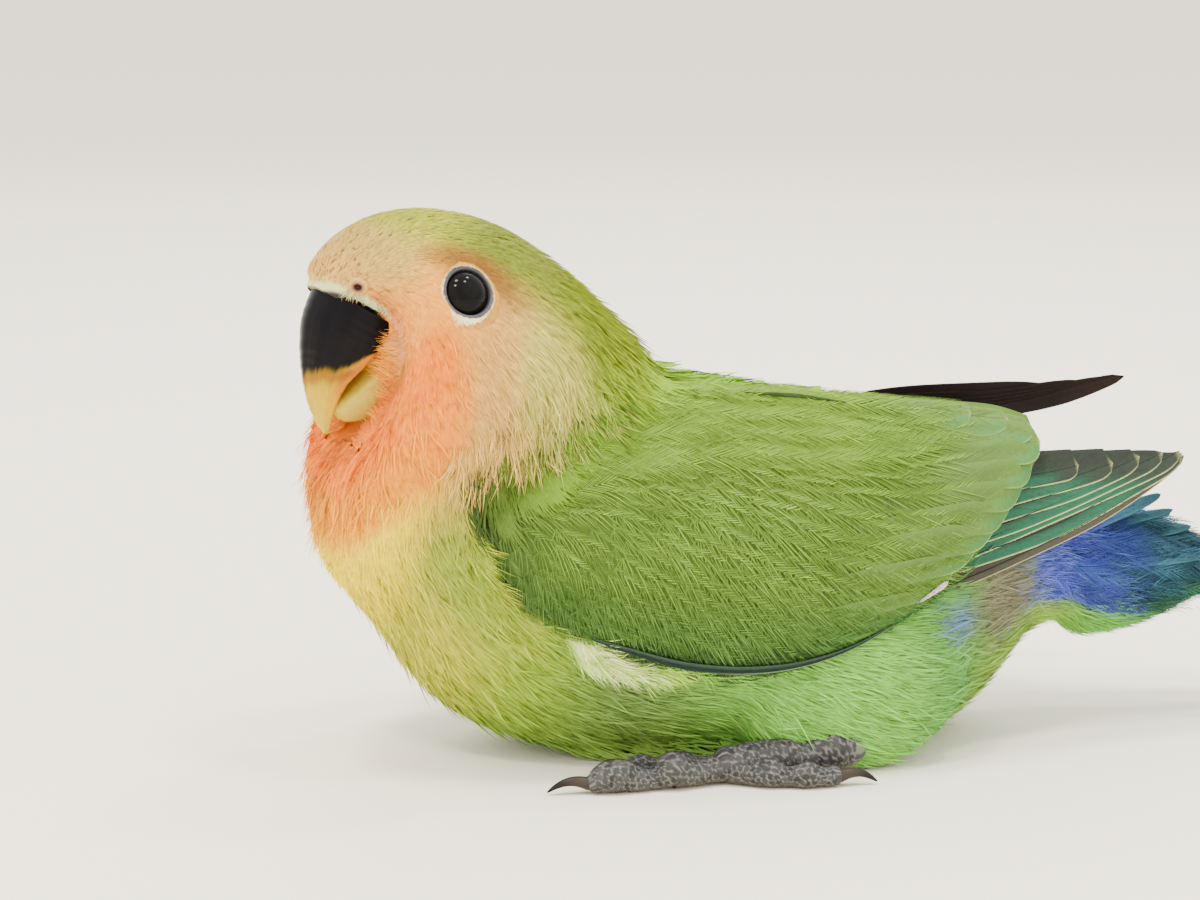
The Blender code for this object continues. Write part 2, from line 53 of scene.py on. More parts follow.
# dorsal x, z, ventral x, z, half width, level of the widest point, squareness
BODY = np.array([
    (36.5, 30.2, 36.6, 19.6, 7.0, .50, 2.0), (31.0, 36.3, 31.8, 12.6, 11.8, .50, 2.0),
    (23.3, 41.6, 25.2, 5.2, 16.0, .50, 2.1), (12.9, 46.0, 16.7, -0.3, 20.0, .48, 2.2),
    (1.2, 48.5, 3.4, -0.7, 22.0, .46, 2.25), (-10.3, 50.5, -12.8, -0.7, 22.8, .45, 2.3),
    (-19.5, 52.8, -28.7, -0.3, 22.3, .45, 2.25), (-24.0, 57.6, -41.6, 2.2, 21.0, .45, 2.15),
    (-28.3, 62.2, -51.8, 7.9, 19.6, .46, 2.05), (-33.0, 66.4, -59.6, 18.0, 18.6, .48, 2.0),
    (-38.2, 70.3, -66.2, 26.6, 17.5, .50, 2.0), (-43.6, 73.4, -69.7, 34.4, 16.2, .52, 2.0),
    (-49.2, 75.3, -69.4, 40.7, 15.1, .54, 2.0), (-55.0, 76.1, -66.6, 45.2, 14.0, .55, 2.0),
    (-60.6, 75.5, -63.9, 49.6, 12.6, .56, 2.0), (-65.6, 73.2, -63.4, 54.6, 10.6, .56, 2.05),
    (-69.2, 70.0, -64.6, 59.4, 7.6, .55, 2.1), (-70.8, 66.8, -67.0, 62.2, 4.2, .52, 2.1)])
THIGH = ((4.0, 18.0, 10.6), (16.0, 6.4, 11.4), -16.0)
BILL_UPPER = np.array([
    (-69.9, 66.4, -60.2, 60.6, 6.3, .26, 2.4), (-71.4, 63.0, -62.2, 58.2, 6.0, .24, 2.35),
    (-72.0, 59.2, -64.6, 55.8, 5.2, .24, 2.25), (-72.0, 55.6, -66.6, 53.8, 4.2, .27, 2.1),
    (-71.6, 52.5, -67.7, 51.6, 3.1, .32, 2.05), (-70.9, 50.0, -68.2, 49.4, 2.0, .40, 2.0),
    (-70.0, 48.1, -68.5, 47.8, 1.0, .50, 2.0), (-69.2, 47.0, -68.7, 46.9, 0.35, .50, 2.0)])
BILL_LOWER = np.array([
    (-60.2, 60.0, -57.8, 51.6, 6.0, .78, 2.3), (-62.4, 57.6, -60.6, 49.9, 5.8, .80, 2.3),
    (-64.4, 55.2, -63.0, 48.8, 5.0, .80, 2.3), (-66.3, 53.2, -65.4, 48.4, 4.0, .78, 2.3),
    (-68.0, 51.6, -67.0, 48.7, 2.8, .70, 2.4), (-68.9, 50.4, -68.2, 49.4, 1.5, .55, 2.2)])
WING = np.array([
    (-47.6, 17.3, 35.2, 17.9, 33.2, 17.8, 31.5, 3.0), (-44.6, 17.6, 39.6, 20.4, 32.4, 19.2, 27.0, 4.5),
    (-38.5, 16.4, 45.4, 22.8, 32.0, 20.8, 22.2, 6.0), (-30.0, 13.0, 50.6, 24.6, 32.0, 22.4, 18.9, 7.0),
    (-20.0, 10.0, 52.4, 25.5, 32.0, 23.3, 16.0, 7.0), (-10.0, 8.4, 51.7, 25.6, 31.8, 23.5, 15.2, 7.0),
    (0.0, 8.0, 50.6, 25.0, 32.0, 22.8, 16.8, 6.0), (10.0, 8.0, 49.6, 23.4, 33.5, 21.3, 21.0, 4.5),
    (19.0, 8.2, 48.8, 20.6, 36.6, 19.2, 26.6, 3.0), (26.0, 8.8, 47.9, 17.0, 41.0, 16.6, 34.4, 2.0),
    (31.0, 10.2, 46.2, 13.3, 44.0, 14.0, 41.0, 1.2)])
WING_HINGE, RIGHT_WING_LIFT, RIGHT_WING_OUT = (-40.0, 34.0), -2.6, 1.4
EYE_XZ, EYE_RADIUS, EYE_SEAT = (-54.7, 66.4), 3.6, 2.45


# ------------------------------------------------------------------ geometry
def smoothstep(a, b, x):
    t = np.clip((np.asarray(x, float) - a) / (b - a), 0, 1)
    return t * t * (3 - 2 * t)


def unit(v):
    return v / np.maximum(np.linalg.norm(v, axis=-1, keepdims=True), 1e-9)


def turn_head(p):
    p = np.asarray(p, float)
    along = (p[..., 2] - 46) * 0.80 - (p[..., 0] + 45) * 0.60
    a = smoothstep(-11, 9, along) * radians(HEAD_YAW)
    c, s = np.cos(a), np.sin(a)
    dx, y = p[..., 0] - NECK_AXIS_X, p[..., 1]
    return np.stack([NECK_AXIS_X + dx * c - y * s, dx * s + y * c, p[..., 2]], -1)


def spline(table, u):
    n = len(table)
    u = np.clip(np.asarray(u, float), 0, n - 1)
    i = np.minimum(u.astype(int), n - 2)
    t = (u - i)[..., None]
    m = np.empty_like(table)
    m[1:-1] = (table[2:] - table[:-2]) / 2
    m[0], m[-1] = table[1] - table[0], table[-1] - table[-2]
    t2, t3 = t * t, t * t * t
    return (table[i] * (2 * t3 - 3 * t2 + 1) + m[i] * (t3 - 2 * t2 + t)
            + table[i + 1] * (3 * t2 - 2 * t3) + m[i + 1] * (t3 - t2))


def section(table, u, phi):
    """Points of a loft at station u and angle phi, which is 0 on the back and grows down the left side."""
    row = spline(table, u)
    D, V, w, m, e = row[..., 0:2], row[..., 2:4], row[..., 4], row[..., 5:6], row[..., 6]
    C = V + (D - V) * m
    c, s = np.cos(phi), np.sin(phi)
    cc, ss = np.sign(c) * np.abs(c) ** (2 / e), np.sign(s) * np.abs(s) ** (2 / e)
    arm = np.where((c > 0)[..., None], D - C, C - V)
    xz = C + arm * cc[..., None]
    return np.stack([xz[..., 0], -w * ss, xz[..., 1]], -1)


def thigh_depth(p, n):
    """How far the thigh's plumage stands out of the flank, along n."""
    (cx, cy, cz), radii, tilt = THIGH
    a = radians(tilt)
    t = np.zeros(p.shape[:-1])
    side = np.where(p[..., 1] < 0, -1.0, 1.0)
    for _ in range(14):
        q = p + n * t[..., None]
        dx, dy, dz = q[..., 0] - cx, q[..., 1] - side * cy, q[..., 2] - cz
        ex, ez = dx * cos(a) - dz * sin(a), dx * sin(a) + dz * cos(a)
        k = np.stack([ex / radii[0], dy / radii[1], ez / radii[2]], -1)
        k1 = np.linalg.norm(k, axis=-1)
        k2 = np.linalg.norm(k / np.array(radii), axis=-1)
        ell = np.where(k1 > 1e-4, (k1 - 1) * k1 / np.maximum(k2, 1e-6), -5.0)
        h = np.clip(0.5 + 0.5 * (t - ell) / 1.6, 0, 1)
        f = t * (1 - h) + ell * h - 1.6 * h * (1 - h)
        t = np.clip(t - 0.7 * f, 0, 9)
    return t


class Surface:
    """A surface sampled on a regular grid of two parameters, read back by bilinear interpolation."""

    def __init__(self, pos, u, v, wrap=False):
        self.pos, self.u0, self.u1, self.v0, self.v1 = pos, u[0], u[-1], v[0], v[-1]
        self.nu, self.nv, self.wrap = pos.shape[0], pos.shape[1], wrap
        self.du, self.dv = u[1] - u[0], v[1] - v[0]
        tu = np.gradient(pos, self.du, axis=0)
        if wrap:       # first and last columns are the same place
            ring = pos[:, :-1]
            tv = (np.roll(ring, -1, 1) - np.roll(ring, 1, 1)) / (2 * self.dv)
            tv = np.concatenate([tv, tv[:, :1]], 1)
        else:
            tv = np.gradient(pos, self.dv, axis=1)
        n = unit(np.cross(tu, tv))
        self.tu, self.tv, self.n = tu, tv, n
        self.flip = 1.0

    def orient(self, outward):
        """Makes the normals agree with a test vector field."""
        if (self.n * outward).sum(-1).mean() < 0:
            self.n = -self.n

    def read(self, field, u, v):
        a = np.clip((u - self.u0) / self.du, 0, self.nu - 1.0001)
        if self.wrap:
            b = np.mod((v - self.v0) / self.dv, self.nv - 1)
        else:
            b = np.clip((v - self.v0) / self.dv, 0, self.nv - 1.0001)
        i, j = a.astype(int), np.minimum(b.astype(int), self.nv - 2)
        s, t = (a - i)[..., None], (b - j)[..., None]
        f = field if field.ndim == 3 else field[..., None]
        out = ((f[i, j] * (1 - s) + f[i + 1, j] * s) * (1 - t) + (f[i, j + 1] * (1 - s) + f[i + 1, j + 1] * s) * t)
        return out if field.ndim == 3 else out[..., 0]

    def area(self):
        return np.linalg.norm(np.cross(self.tu, self.tv), axis=-1)

    def scatter(self, density, seed):
        """Root places with the wanted number per square mm, on a jittered low-discrepancy sequence."""
        r = np.random.default_rng(seed)
        cell = self.area() * np.abs(self.du * self.dv)
        want = cell * density(*self.mesh())
        peak = (want / cell).max()
        total = (self.u1 - self.u0) * (self.v1 - self.v0)
        jac = self.area()
        top = (jac * density(*self.mesh())).max()
        count = int(top * total)
        k = np.arange(count)
        g = 1.32471795724474602596
        uu = self.u0 + (self.u1 - self.u0) * np.mod(0.5 + k / g + r.uniform(0, .004, count), 1)
        vv = self.v0 + (self.v1 - self.v0) * np.mod(0.5 + k / (g * g) + r.uniform(0, .004, count), 1)
        w = self.read(jac, uu, vv) * density(uu, vv) / top
        keep = r.uniform(0, 1, count) < w
        return uu[keep], vv[keep]

    def mesh(self):
        u = np.linspace(self.u0, self.u1, self.nu)
        v = np.linspace(self.v0, self.v1, self.nv)
        return np.meshgrid(u, v, indexing="ij")


def wing_grid(x, a):
    """Outer surface of the folded left wing at x, from its upper edge (a = 0) to its lower (a = 1)."""
    u = np.interp(x, WING[:, 0], np.arange(len(WING)))
    for _ in range(3):
        row = spline(WING, u)
        slope = (spline(WING, u + 0.01)[..., 0] - row[..., 0]) / 0.01
        u = np.clip(u - (row[..., 0] - x) / np.where(np.abs(slope) < 1e-3, 1e-3, slope), 0, len(WING) - 1)
    row = spline(WING, u)
    top, mid, low = row[..., 1:3], row[..., 3:5], row[..., 5:7]
    ctrl = 2 * mid - (top + low) / 2
    a = a[..., None]
    yz = (1 - a) ** 2 * top + 2 * a * (1 - a) * ctrl + a ** 2 * low
    return np.stack([x, -yz[..., 0], yz[..., 1]], -1)


def wing_place(p, side):
    """Moves points of the left wing to where this side's wing is."""
    p = np.array(p, float)
    if side == "right":
        a = radians(RIGHT_WING_LIFT)
        dx, dz = p[..., 0] - WING_HINGE[0], p[..., 2] - WING_HINGE[1]
        p[..., 0] = WING_HINGE[0] + dx * cos(a) - dz * sin(a)
        p[..., 2] = WING_HINGE[1] + dx * sin(a) + dz * cos(a)
        p[..., 1] = -(p[..., 1] - RIGHT_WING_OUT)
    return p


def wing_unplace(p, side):
    p = np.array(p, float)
    if side == "right":
        a = -radians(RIGHT_WING_LIFT)
        dx, dz = p[..., 0] - WING_HINGE[0], p[..., 2] - WING_HINGE[1]
        p[..., 0] = WING_HINGE[0] + dx * cos(a) - dz * sin(a)
        p[..., 2] = WING_HINGE[1] + dx * sin(a) + dz * cos(a)
        p[..., 1] = -p[..., 1] + RIGHT_WING_OUT
    return p


# height field of the left wing: how far out (in -y) its outer surface lies at x, z
WX = np.linspace(WING[0, 0], WING[-1, 0], 160)
WZ = np.linspace(8, 56, 193)
_a = np.linspace(0, 1, 120)
_g = wing_grid(np.repeat(WX[:, None], 120, 1), np.repeat(_a[None], len(WX), 0))
WING_OUT = np.stack([np.interp(WZ, _g[i, ::-1, 2], -_g[i, ::-1, 1], left=np.nan, right=np.nan) for i in range(len(WX))])
WING_TOP, WING_LOW = _g[:, 0, 2], _g[:, -1, 2]


def wing_height(x, z):
    """Out-distance of the left wing's surface at (x, z), nan outside its outline."""
    i = np.clip(((x - WX[0]) / (WX[1] - WX[0])).round().astype(int), 0, len(WX) - 1)
    j = np.clip(((z - WZ[0]) / (WZ[1] - WZ[0])).round().astype(int), 0, len(WZ) - 1)
    h = WING_OUT[i, j]
    return np.where((x < WX[0]) | (x > WX[-1]), np.nan, h)


def wing_margin(x, z):
    """How far inside the wing's outline, in mm, measured up and down and from the front."""
    top, low = np.interp(x, WX, WING_TOP), np.interp(x, WX, WING_LOW)
    return np.minimum(np.minimum(top - z, z - low), np.minimum(x - WX[0], WX[-1] - x))


# the body with its thighs, turned into its pose
_u = np.linspace(0, len(BODY) - 1, 393)
_v = np.linspace(-pi, pi, 361)
_U, _V = np.meshgrid(_u, _v, indexing="ij")
_p = section(BODY, _U, _V)
_straight = Surface(_p, _u, _v, wrap=True)
_axis = _p[:, :-1].mean(1)[:, None]
_straight.orient(_p - _axis)
_p = _p + _straight.n * thigh_depth(_p, _straight.n)[..., None]
# the cheeks taper into the bill's base
_taper = 2.7 * np.exp(-((_U - 15.7) / 1.15) ** 2 - ((np.abs(np.degrees(_V)) - 116) / 34) ** 2)
_p = _p - _straight.n * _taper[..., None]
straight = Surface(_p, _u, _v, wrap=True)
straight.orient(_p - _axis)
body = Surface(turn_head(_p), _u, _v, wrap=True)
body.orient(turn_head(_p) - turn_head(_axis))
WINGS = {}
for side in ("left", "right"):
    us, aa = np.linspace(-WING[-1, 0] + 0.1, -WING[0, 0] - 0.3, 240), np.linspace(0.0, 1.0, 121)
    U, A = np.meshgrid(us, aa, indexing="ij")
    WINGS[side] = Surface(wing_place(wing_grid(-U, A), side), us, aa)
    WINGS[side].orient(np.broadcast_to(np.array([0, -1.0 if side == "left" else 1.0, 0.2]), U.shape + (3,)))


# ------------------------------------------------------------------ markings, with painted light and shade
def film(lin):
    """Display colour of scene light under Blender's default view, closely enough to choose paints by."""
    wide = np.array([(.6274, .3293, .0433), (.0691, .9195, .0113), (.0164, .0880, .8956)])
    mix_in = np.array([(.8566272, .0951212, .0482516), (.1373190, .7612420, .1014390), (.1118982, .0767994, .8113024)])
    mix_out = np.array([(1.1271006, -.1106066, -.0164939), (-.1413298, 1.1578237, -.0164939), (-.1413298, -.1106066, 1.2519364)])
    c = np.log2(np.maximum(lin @ wide.T @ mix_in.T, 1e-10))
    x = np.clip((c + 12.47393) / 16.5, 0, 1)
    x2, x4 = x * x, x ** 4
    c = 15.5 * x4 * x2 - 40.14 * x4 * x + 31.96 * x4 - 6.868 * x2 * x + .4298 * x2 + .1191 * x - .00232
    c = np.maximum(c @ mix_out.T, 0) ** 2.2 @ np.linalg.inv(wide).T
    c = np.clip(c, 0, 1)
    return np.where(c <= .0031308, 12.92 * c, 1.055 * c ** (1 / 2.4) - .055) * 255


LIGHT = np.array([1.71, 1.685, 1.63])       # what a matt white surface of the bird sends out
_paints = {}


def srgb(*c):
    """Reflectance that looks like this display colour on the lit bird."""
    if c not in _paints:
        want = np.array(c, float)
        x = np.log(np.maximum((want / 255) ** 2.2, 1e-3))
        for _ in range(40):
            f = film(np.exp(x)) - want
            J = np.stack([(film(np.exp(x + np.eye(3)[k] * 1e-3)) - film(np.exp(x))) / 1e-3 for k in range(3)], 1)
            step = np.linalg.lstsq(J + np.eye(3) * 1e-3, -f, rcond=None)[0]
            x = np.clip(x + np.clip(step, -.7, .7), -9, 3.5)
        _paints[c] = np.clip(np.exp(x) / LIGHT, .004, .92)
    return _paints[c]


def mix(a, b, w):
    w = np.asarray(w)[..., None]
    return (np.sqrt(a) * (1 - w) + np.sqrt(b) * w) ** 2


# where the feathers stop at the bill: degrees from the back, station
BARE = (np.array([0, 6, 57, 87, 102, 120, 150, 180.]), np.array([17.0, 16.93, 16.4, 16.1, 16.0, 15.9, 15.2, 14.6]))
NOSTRIL_AT = (15.92, 70.0)
# where the long feathers of the neck end over the wing: degrees from the back, station
FRINGE_END = (np.array([27, 43, 51, 61, 70, 82, 94, 108, 112.]), np.array([6.6, 7.2, 7.3, 7.8, 8.2, 8.7, 9.35, 9.7, 9.8]))

# Each patch: where its middle is (station, degrees from the back), its half sizes, how soft, its colour
PATCHES = [
    ("back", 4.2, 10, 3.6, 46, .5, (152, 174, 90)),
    ("flank", 6.2, 118, 1.7, 44, .6, (148, 166, 110)),
    ("belly", 5.5, 180, 3.0, 46, .5, (166, 180, 118)),
    ("thigh", 3.7, 118, 1.5, 44, .5, (168, 194, 132)),
    ("thigh rear", 2.4, 112, 0.8, 42, .6, (142, 174, 116)),
    ("vent", 1.2, 150, 1.2, 50, .5, (160, 176, 112)),
    ("vent down", 1.5, 96, 0.7, 20, .5, (152, 148, 126)),
    ("blue spot", 2.5, 98, 0.22, 6, .9, (140, 160, 180)),
    ("rump", 1.1, 0, 1.6, 70, .35, (92, 118, 182)),
    ("fore flank", 7.6, 118, 1.0, 44, .6, (178, 188, 114)),
    ("breast", 8.8, 150, 1.2, 62, .6, (200, 194, 128)),
    ("upper breast", 10.0, 158, 1.0, 56, .5, (234, 208, 146)),
    ("mantle", 7.0, 20, 1.5, 44, .5, (166, 178, 98)),
    ("neck side", 8.9, 80, 1.4, 40, .6, (202, 192, 144)),
    ("by the wing", 8.5, 111, 1.0, 13, .7, (180, 185, 116)),
    ("cheek", 10.6, 76, 1.7, 42, .6, (208, 182, 140)),
    ("ear", 9.3, 60, 0.9, 22, .5, (200, 192, 142)),
    ("lores", 14.2, 82, 3.0, 46, .5, (230, 186, 138)),
    ("gape", 15.6, 126, 2.0, 44, .4, (234, 182, 138)),
    ("forehead", 15.8, 20, 2.4, 62, .45, (212, 188, 146)),
    ("forecrown", 14.2, 26, 1.1, 40, .6, (202, 184, 136)),
    ("nape", 8.6, 8, 2.5, 40, .35, (156, 162, 80)),
    ("hindcrown", 11.2, 8, 2.0, 43, .3, (158, 160, 88)),
    ("crown", 13.0, 6, 1.2, 36, .5, (186, 182, 112)),
    # the chin is painted a darker orange than the throat, as painted shade under the bill
    ("chin", 13.2, 172, 1.9, 50, .35, (202, 130, 64)),
    ("throat", 12.2, 140, 1.4, 46, .35, (248, 176, 106)),
    ("bib", 11.7, 112, 1.4, 25, .4, (252, 180, 110)),
    ("lower bib", 10.9, 150, 0.5, 40, .8, (246, 188, 124)),
    ("over the eye", 11.95, 52, 1.25, 8, .8, (174, 130, 80)),
]


def body_marking_and_shade(u, v):
    """Reflectance of the plumage at body station u, angle v (radians from the back), with painted shade under the bill,
    along the wing's front edge, on the skin beyond the cere and in the gape.
    """
    deg = np.abs(np.degrees(np.mod(v + pi, 2 * pi) - pi))
    out = np.broadcast_to(srgb(158, 178, 98), u.shape + (3,))
    for name, cu, cd, ru, rd, soft, colour in PATCHES:
        d = np.sqrt(((u - cu) / ru) ** 2 + ((deg - cd) / rd) ** 2)
        out = mix(out, srgb(*colour), 1 - smoothstep(1 - soft, 1 + soft, d))
    # behind the neck's fringe the small green feathers of the wing's bend begin; towards the wing's front edge they are
    # painted darker, as painted shade there
    end = np.interp(deg, *FRINGE_END)
    green = mix(mix(np.broadcast_to(srgb(142, 160, 80), u.shape + (3,)), srgb(124, 142, 76), smoothstep(70, 96, deg)), srgb(96, 114, 62), smoothstep(94, 103, deg))
    out = mix(out, green, (1 - smoothstep(end - .05, end + .14, u)) * (1 - smoothstep(102.5, 105.5, deg)) * smoothstep(5.6, 6.2, u) * smoothstep(34, 46, deg))
    bare = u - np.interp(deg, *BARE)
    out = mix(out, srgb(206, 204, 180), smoothstep(-.2, .1, bare) * (1 - smoothstep(104, 114, deg)))
    # painted shade: further on, where the skin shows between the cere and the bill, it is painted dark, and darkest at
    # the gape between the mandibles
    out = mix(out, srgb(84, 78, 72), smoothstep(.30, .55, bare) * (1 - smoothstep(106, 114, deg)))
    return mix(out, srgb(52, 44, 42), smoothstep(.20, .40, bare) * smoothstep(104, 112, deg))


def wing_marking_and_shade(x, a):
    """Reflectance of the wing at x, from its upper (a = 0) to its lower edge, with painted light along the upper edge
    and painted shade towards the lower edge, at the front and along the lower rim.
    """
    c = np.broadcast_to(srgb(150, 168, 100), x.shape + (3,))
    # painted light: the upper edge lighter, as lit from above
    c = mix(c, srgb(162, 178, 106), 1 - smoothstep(.05, .45, a))
    c = mix(c, srgb(150, 170, 100), smoothstep(5, 22, x) * (1 - smoothstep(.5, .9, a)))
    # painted shade: darker towards the lower edge, except at the rear
    c = mix(c, srgb(129, 155, 94), smoothstep(.55, .95, a) * (1 - smoothstep(5, 20, x)))
    # painted shade at the front, where the wing lies under the neck's fringe
    c = mix(c, srgb(118, 140, 86), (1 - smoothstep(-46, -34, x)) * .7)
    c = mix(c, srgb(106, 150, 108), smoothstep(.86, 1.0, a) * smoothstep(-2, 14, x) * .6)
    # painted shade: a dark band along the lower rim in the middle of the wing, where the edge turns under
    return mix(c, srgb(86, 106, 74), smoothstep(.955, .99, a) * smoothstep(-31, -24, x) * (1 - smoothstep(0, 6, x)) * .7)


# ------------------------------------------------------------------ mesh building
class Bag:
    """Collects vertices (mm), faces, colours and bake places of one piece."""

    def __init__(self):
        self.v, self.f3, self.f4, self.c, self.uv, self.n = [], [], [], [], [], 0

    def add(self, verts, tris=None, quads=None, colour=None, uv=None):
        verts = np.asarray(verts, float).reshape(-1, 3)
        k = len(verts)
        self.v.append(verts)
        if tris is not None and len(tris):
            self.f3.append(np.asarray(tris, int).reshape(-1, 3) + self.n)
        if quads is not None and len(quads):
            self.f4.append(np.asarray(quads, int).reshape(-1, 4) + self.n)
        self.c.append(np.broadcast_to(colour if colour is not None else np.ones(3), (k, 3)).reshape(-1, 3))
        self.uv.append(np.broadcast_to(uv if uv is not None else np.zeros(2), (k, 2)).reshape(-1, 2))
        self.n += k

    def tris(self):
        return sum(len(f) for f in self.f3) + 2 * sum(len(f) for f in self.f4)

    def build(self, name, material, smooth=True, weld=False):
        v = np.concatenate(self.v) + ORIGIN
        f3 = np.concatenate(self.f3) if self.f3 else np.zeros((0, 3), int)
        f4 = np.concatenate(self.f4) if self.f4 else np.zeros((0, 4), int)
        mesh = bpy.data.meshes.new(name)
        mesh.vertices.add(len(v))
        mesh.vertices.foreach_set("co", (v * MM).astype(np.float32).ravel())
        loops = np.concatenate([f3.ravel(), f4.ravel()]).astype(np.int32)
        mesh.loops.add(len(loops))
        mesh.loops.foreach_set("vertex_index", loops)
        starts = np.concatenate([np.arange(len(f3)) * 3, len(f3) * 3 + np.arange(len(f4)) * 4]).astype(np.int32)
        mesh.polygons.add(len(starts))
        mesh.polygons.foreach_set("loop_start", starts)
        if smooth:
            mesh.polygons.foreach_set("use_smooth", np.ones(len(starts), bool))
        colour = np.concatenate(self.c)
        layer = mesh.color_attributes.new("Col", "FLOAT_COLOR", "POINT")
        layer.data.foreach_set("color", np.concatenate([np.clip(colour, 0, 1), np.ones((len(v), 1))], 1).astype(np.float32).ravel())
        uv = mesh.uv_layers.new(name="OFBake")
        uv.data.foreach_set("uv", np.concatenate(self.uv)[loops].astype(np.float32).ravel())
        mesh.update(calc_edges=True)
        mesh.validate()
        obj = bpy.data.objects.new(name, mesh)
        bpy.context.scene.collection.objects.link(obj)
        mesh.materials.append(material)
        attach(obj, "root")
        return obj


def grid_faces(nu, nv, wrap=False):
    i, j = np.meshgrid(np.arange(nu - 1), np.arange(nv if wrap else nv - 1), indexing="ij")
    i, j = i.ravel(), j.ravel()
    jn = (j + 1) % nv
    return np.stack([i * nv + j, i * nv + jn, (i + 1) * nv + jn, (i + 1) * nv + j], -1)


def patch_uv(su, sv, key, size=0.003):
    """A small bake patch at a root's place; key holds numbers 0..1 that spread the tuft's points over it."""
    return np.stack([su + (key[..., 0] - .5) * size, sv + (key[..., 1] - .5) * size], -1)


def march(surf, u, v, length, angle, steps=4):
    """Walks along the surface from the roots. angle turns the way from -u towards +v (for v > 0)."""
    P, N, B, UU, VV = [], [], [], [], []
    for k in range(steps + 1):
        tu, tv = surf.read(surf.tu, u, v), surf.read(surf.tv, u, v)
        n = unit(surf.read(surf.n, u, v))
        back = unit(-tu - n * ((-tu) * n).sum(-1, keepdims=True))
        down = np.cross(n, back)
        down *= np.sign((down * tv).sum(-1, keepdims=True)) * np.where(np.sin(v) < 0, -1.0, 1.0)[..., None] if surf.wrap else np.sign((down * tv).sum(-1, keepdims=True))
        th = angle(u, v)[..., None] if callable(angle) else np.asarray(angle)[..., None]
        d = back * np.cos(th) + down * np.sin(th)
        P.append(surf.read(surf.pos, u, v))
        N.append(n)
        B.append(np.cross(n, d))
        UU.append(u)
        VV.append(v)
        if k == steps:
            break
        # solve d * ds = tu * du + tv * dv
        a11, a12, a22 = (tu * tu).sum(-1), (tu * tv).sum(-1), (tv * tv).sum(-1)
        b1, b2 = (tu * d).sum(-1), (tv * d).sum(-1)
        det = np.maximum(a11 * a22 - a12 * a12, 1e-6)
        ds = length / steps
        u = np.clip(u + ds * (b1 * a22 - b2 * a12) / det, surf.u0, surf.u1)
        v = v + ds * (a11 * b2 - a12 * b1) / det
        if not surf.wrap:
            v = np.clip(v, surf.v0, surf.v1)
    return [np.stack(q, 1) for q in (P, N, B, UU, VV)]


def along(path, t):
    """Reads a (feathers, stations, k) path at parameters t of shape (feathers, m)."""
    n = path.shape[1] - 1
    x = np.clip(t, 0, 1) * n
    i = np.minimum(x.astype(int), n - 1)
    f = (x - i)[..., None] if path.ndim == 3 else x - i
    rows = np.arange(path.shape[0])[:, None]
    rows = rows.reshape(rows.shape[0], *([1] * (t.ndim - 1)))
    return path[rows, i] * (1 - f) + path[rows, i + 1] * f


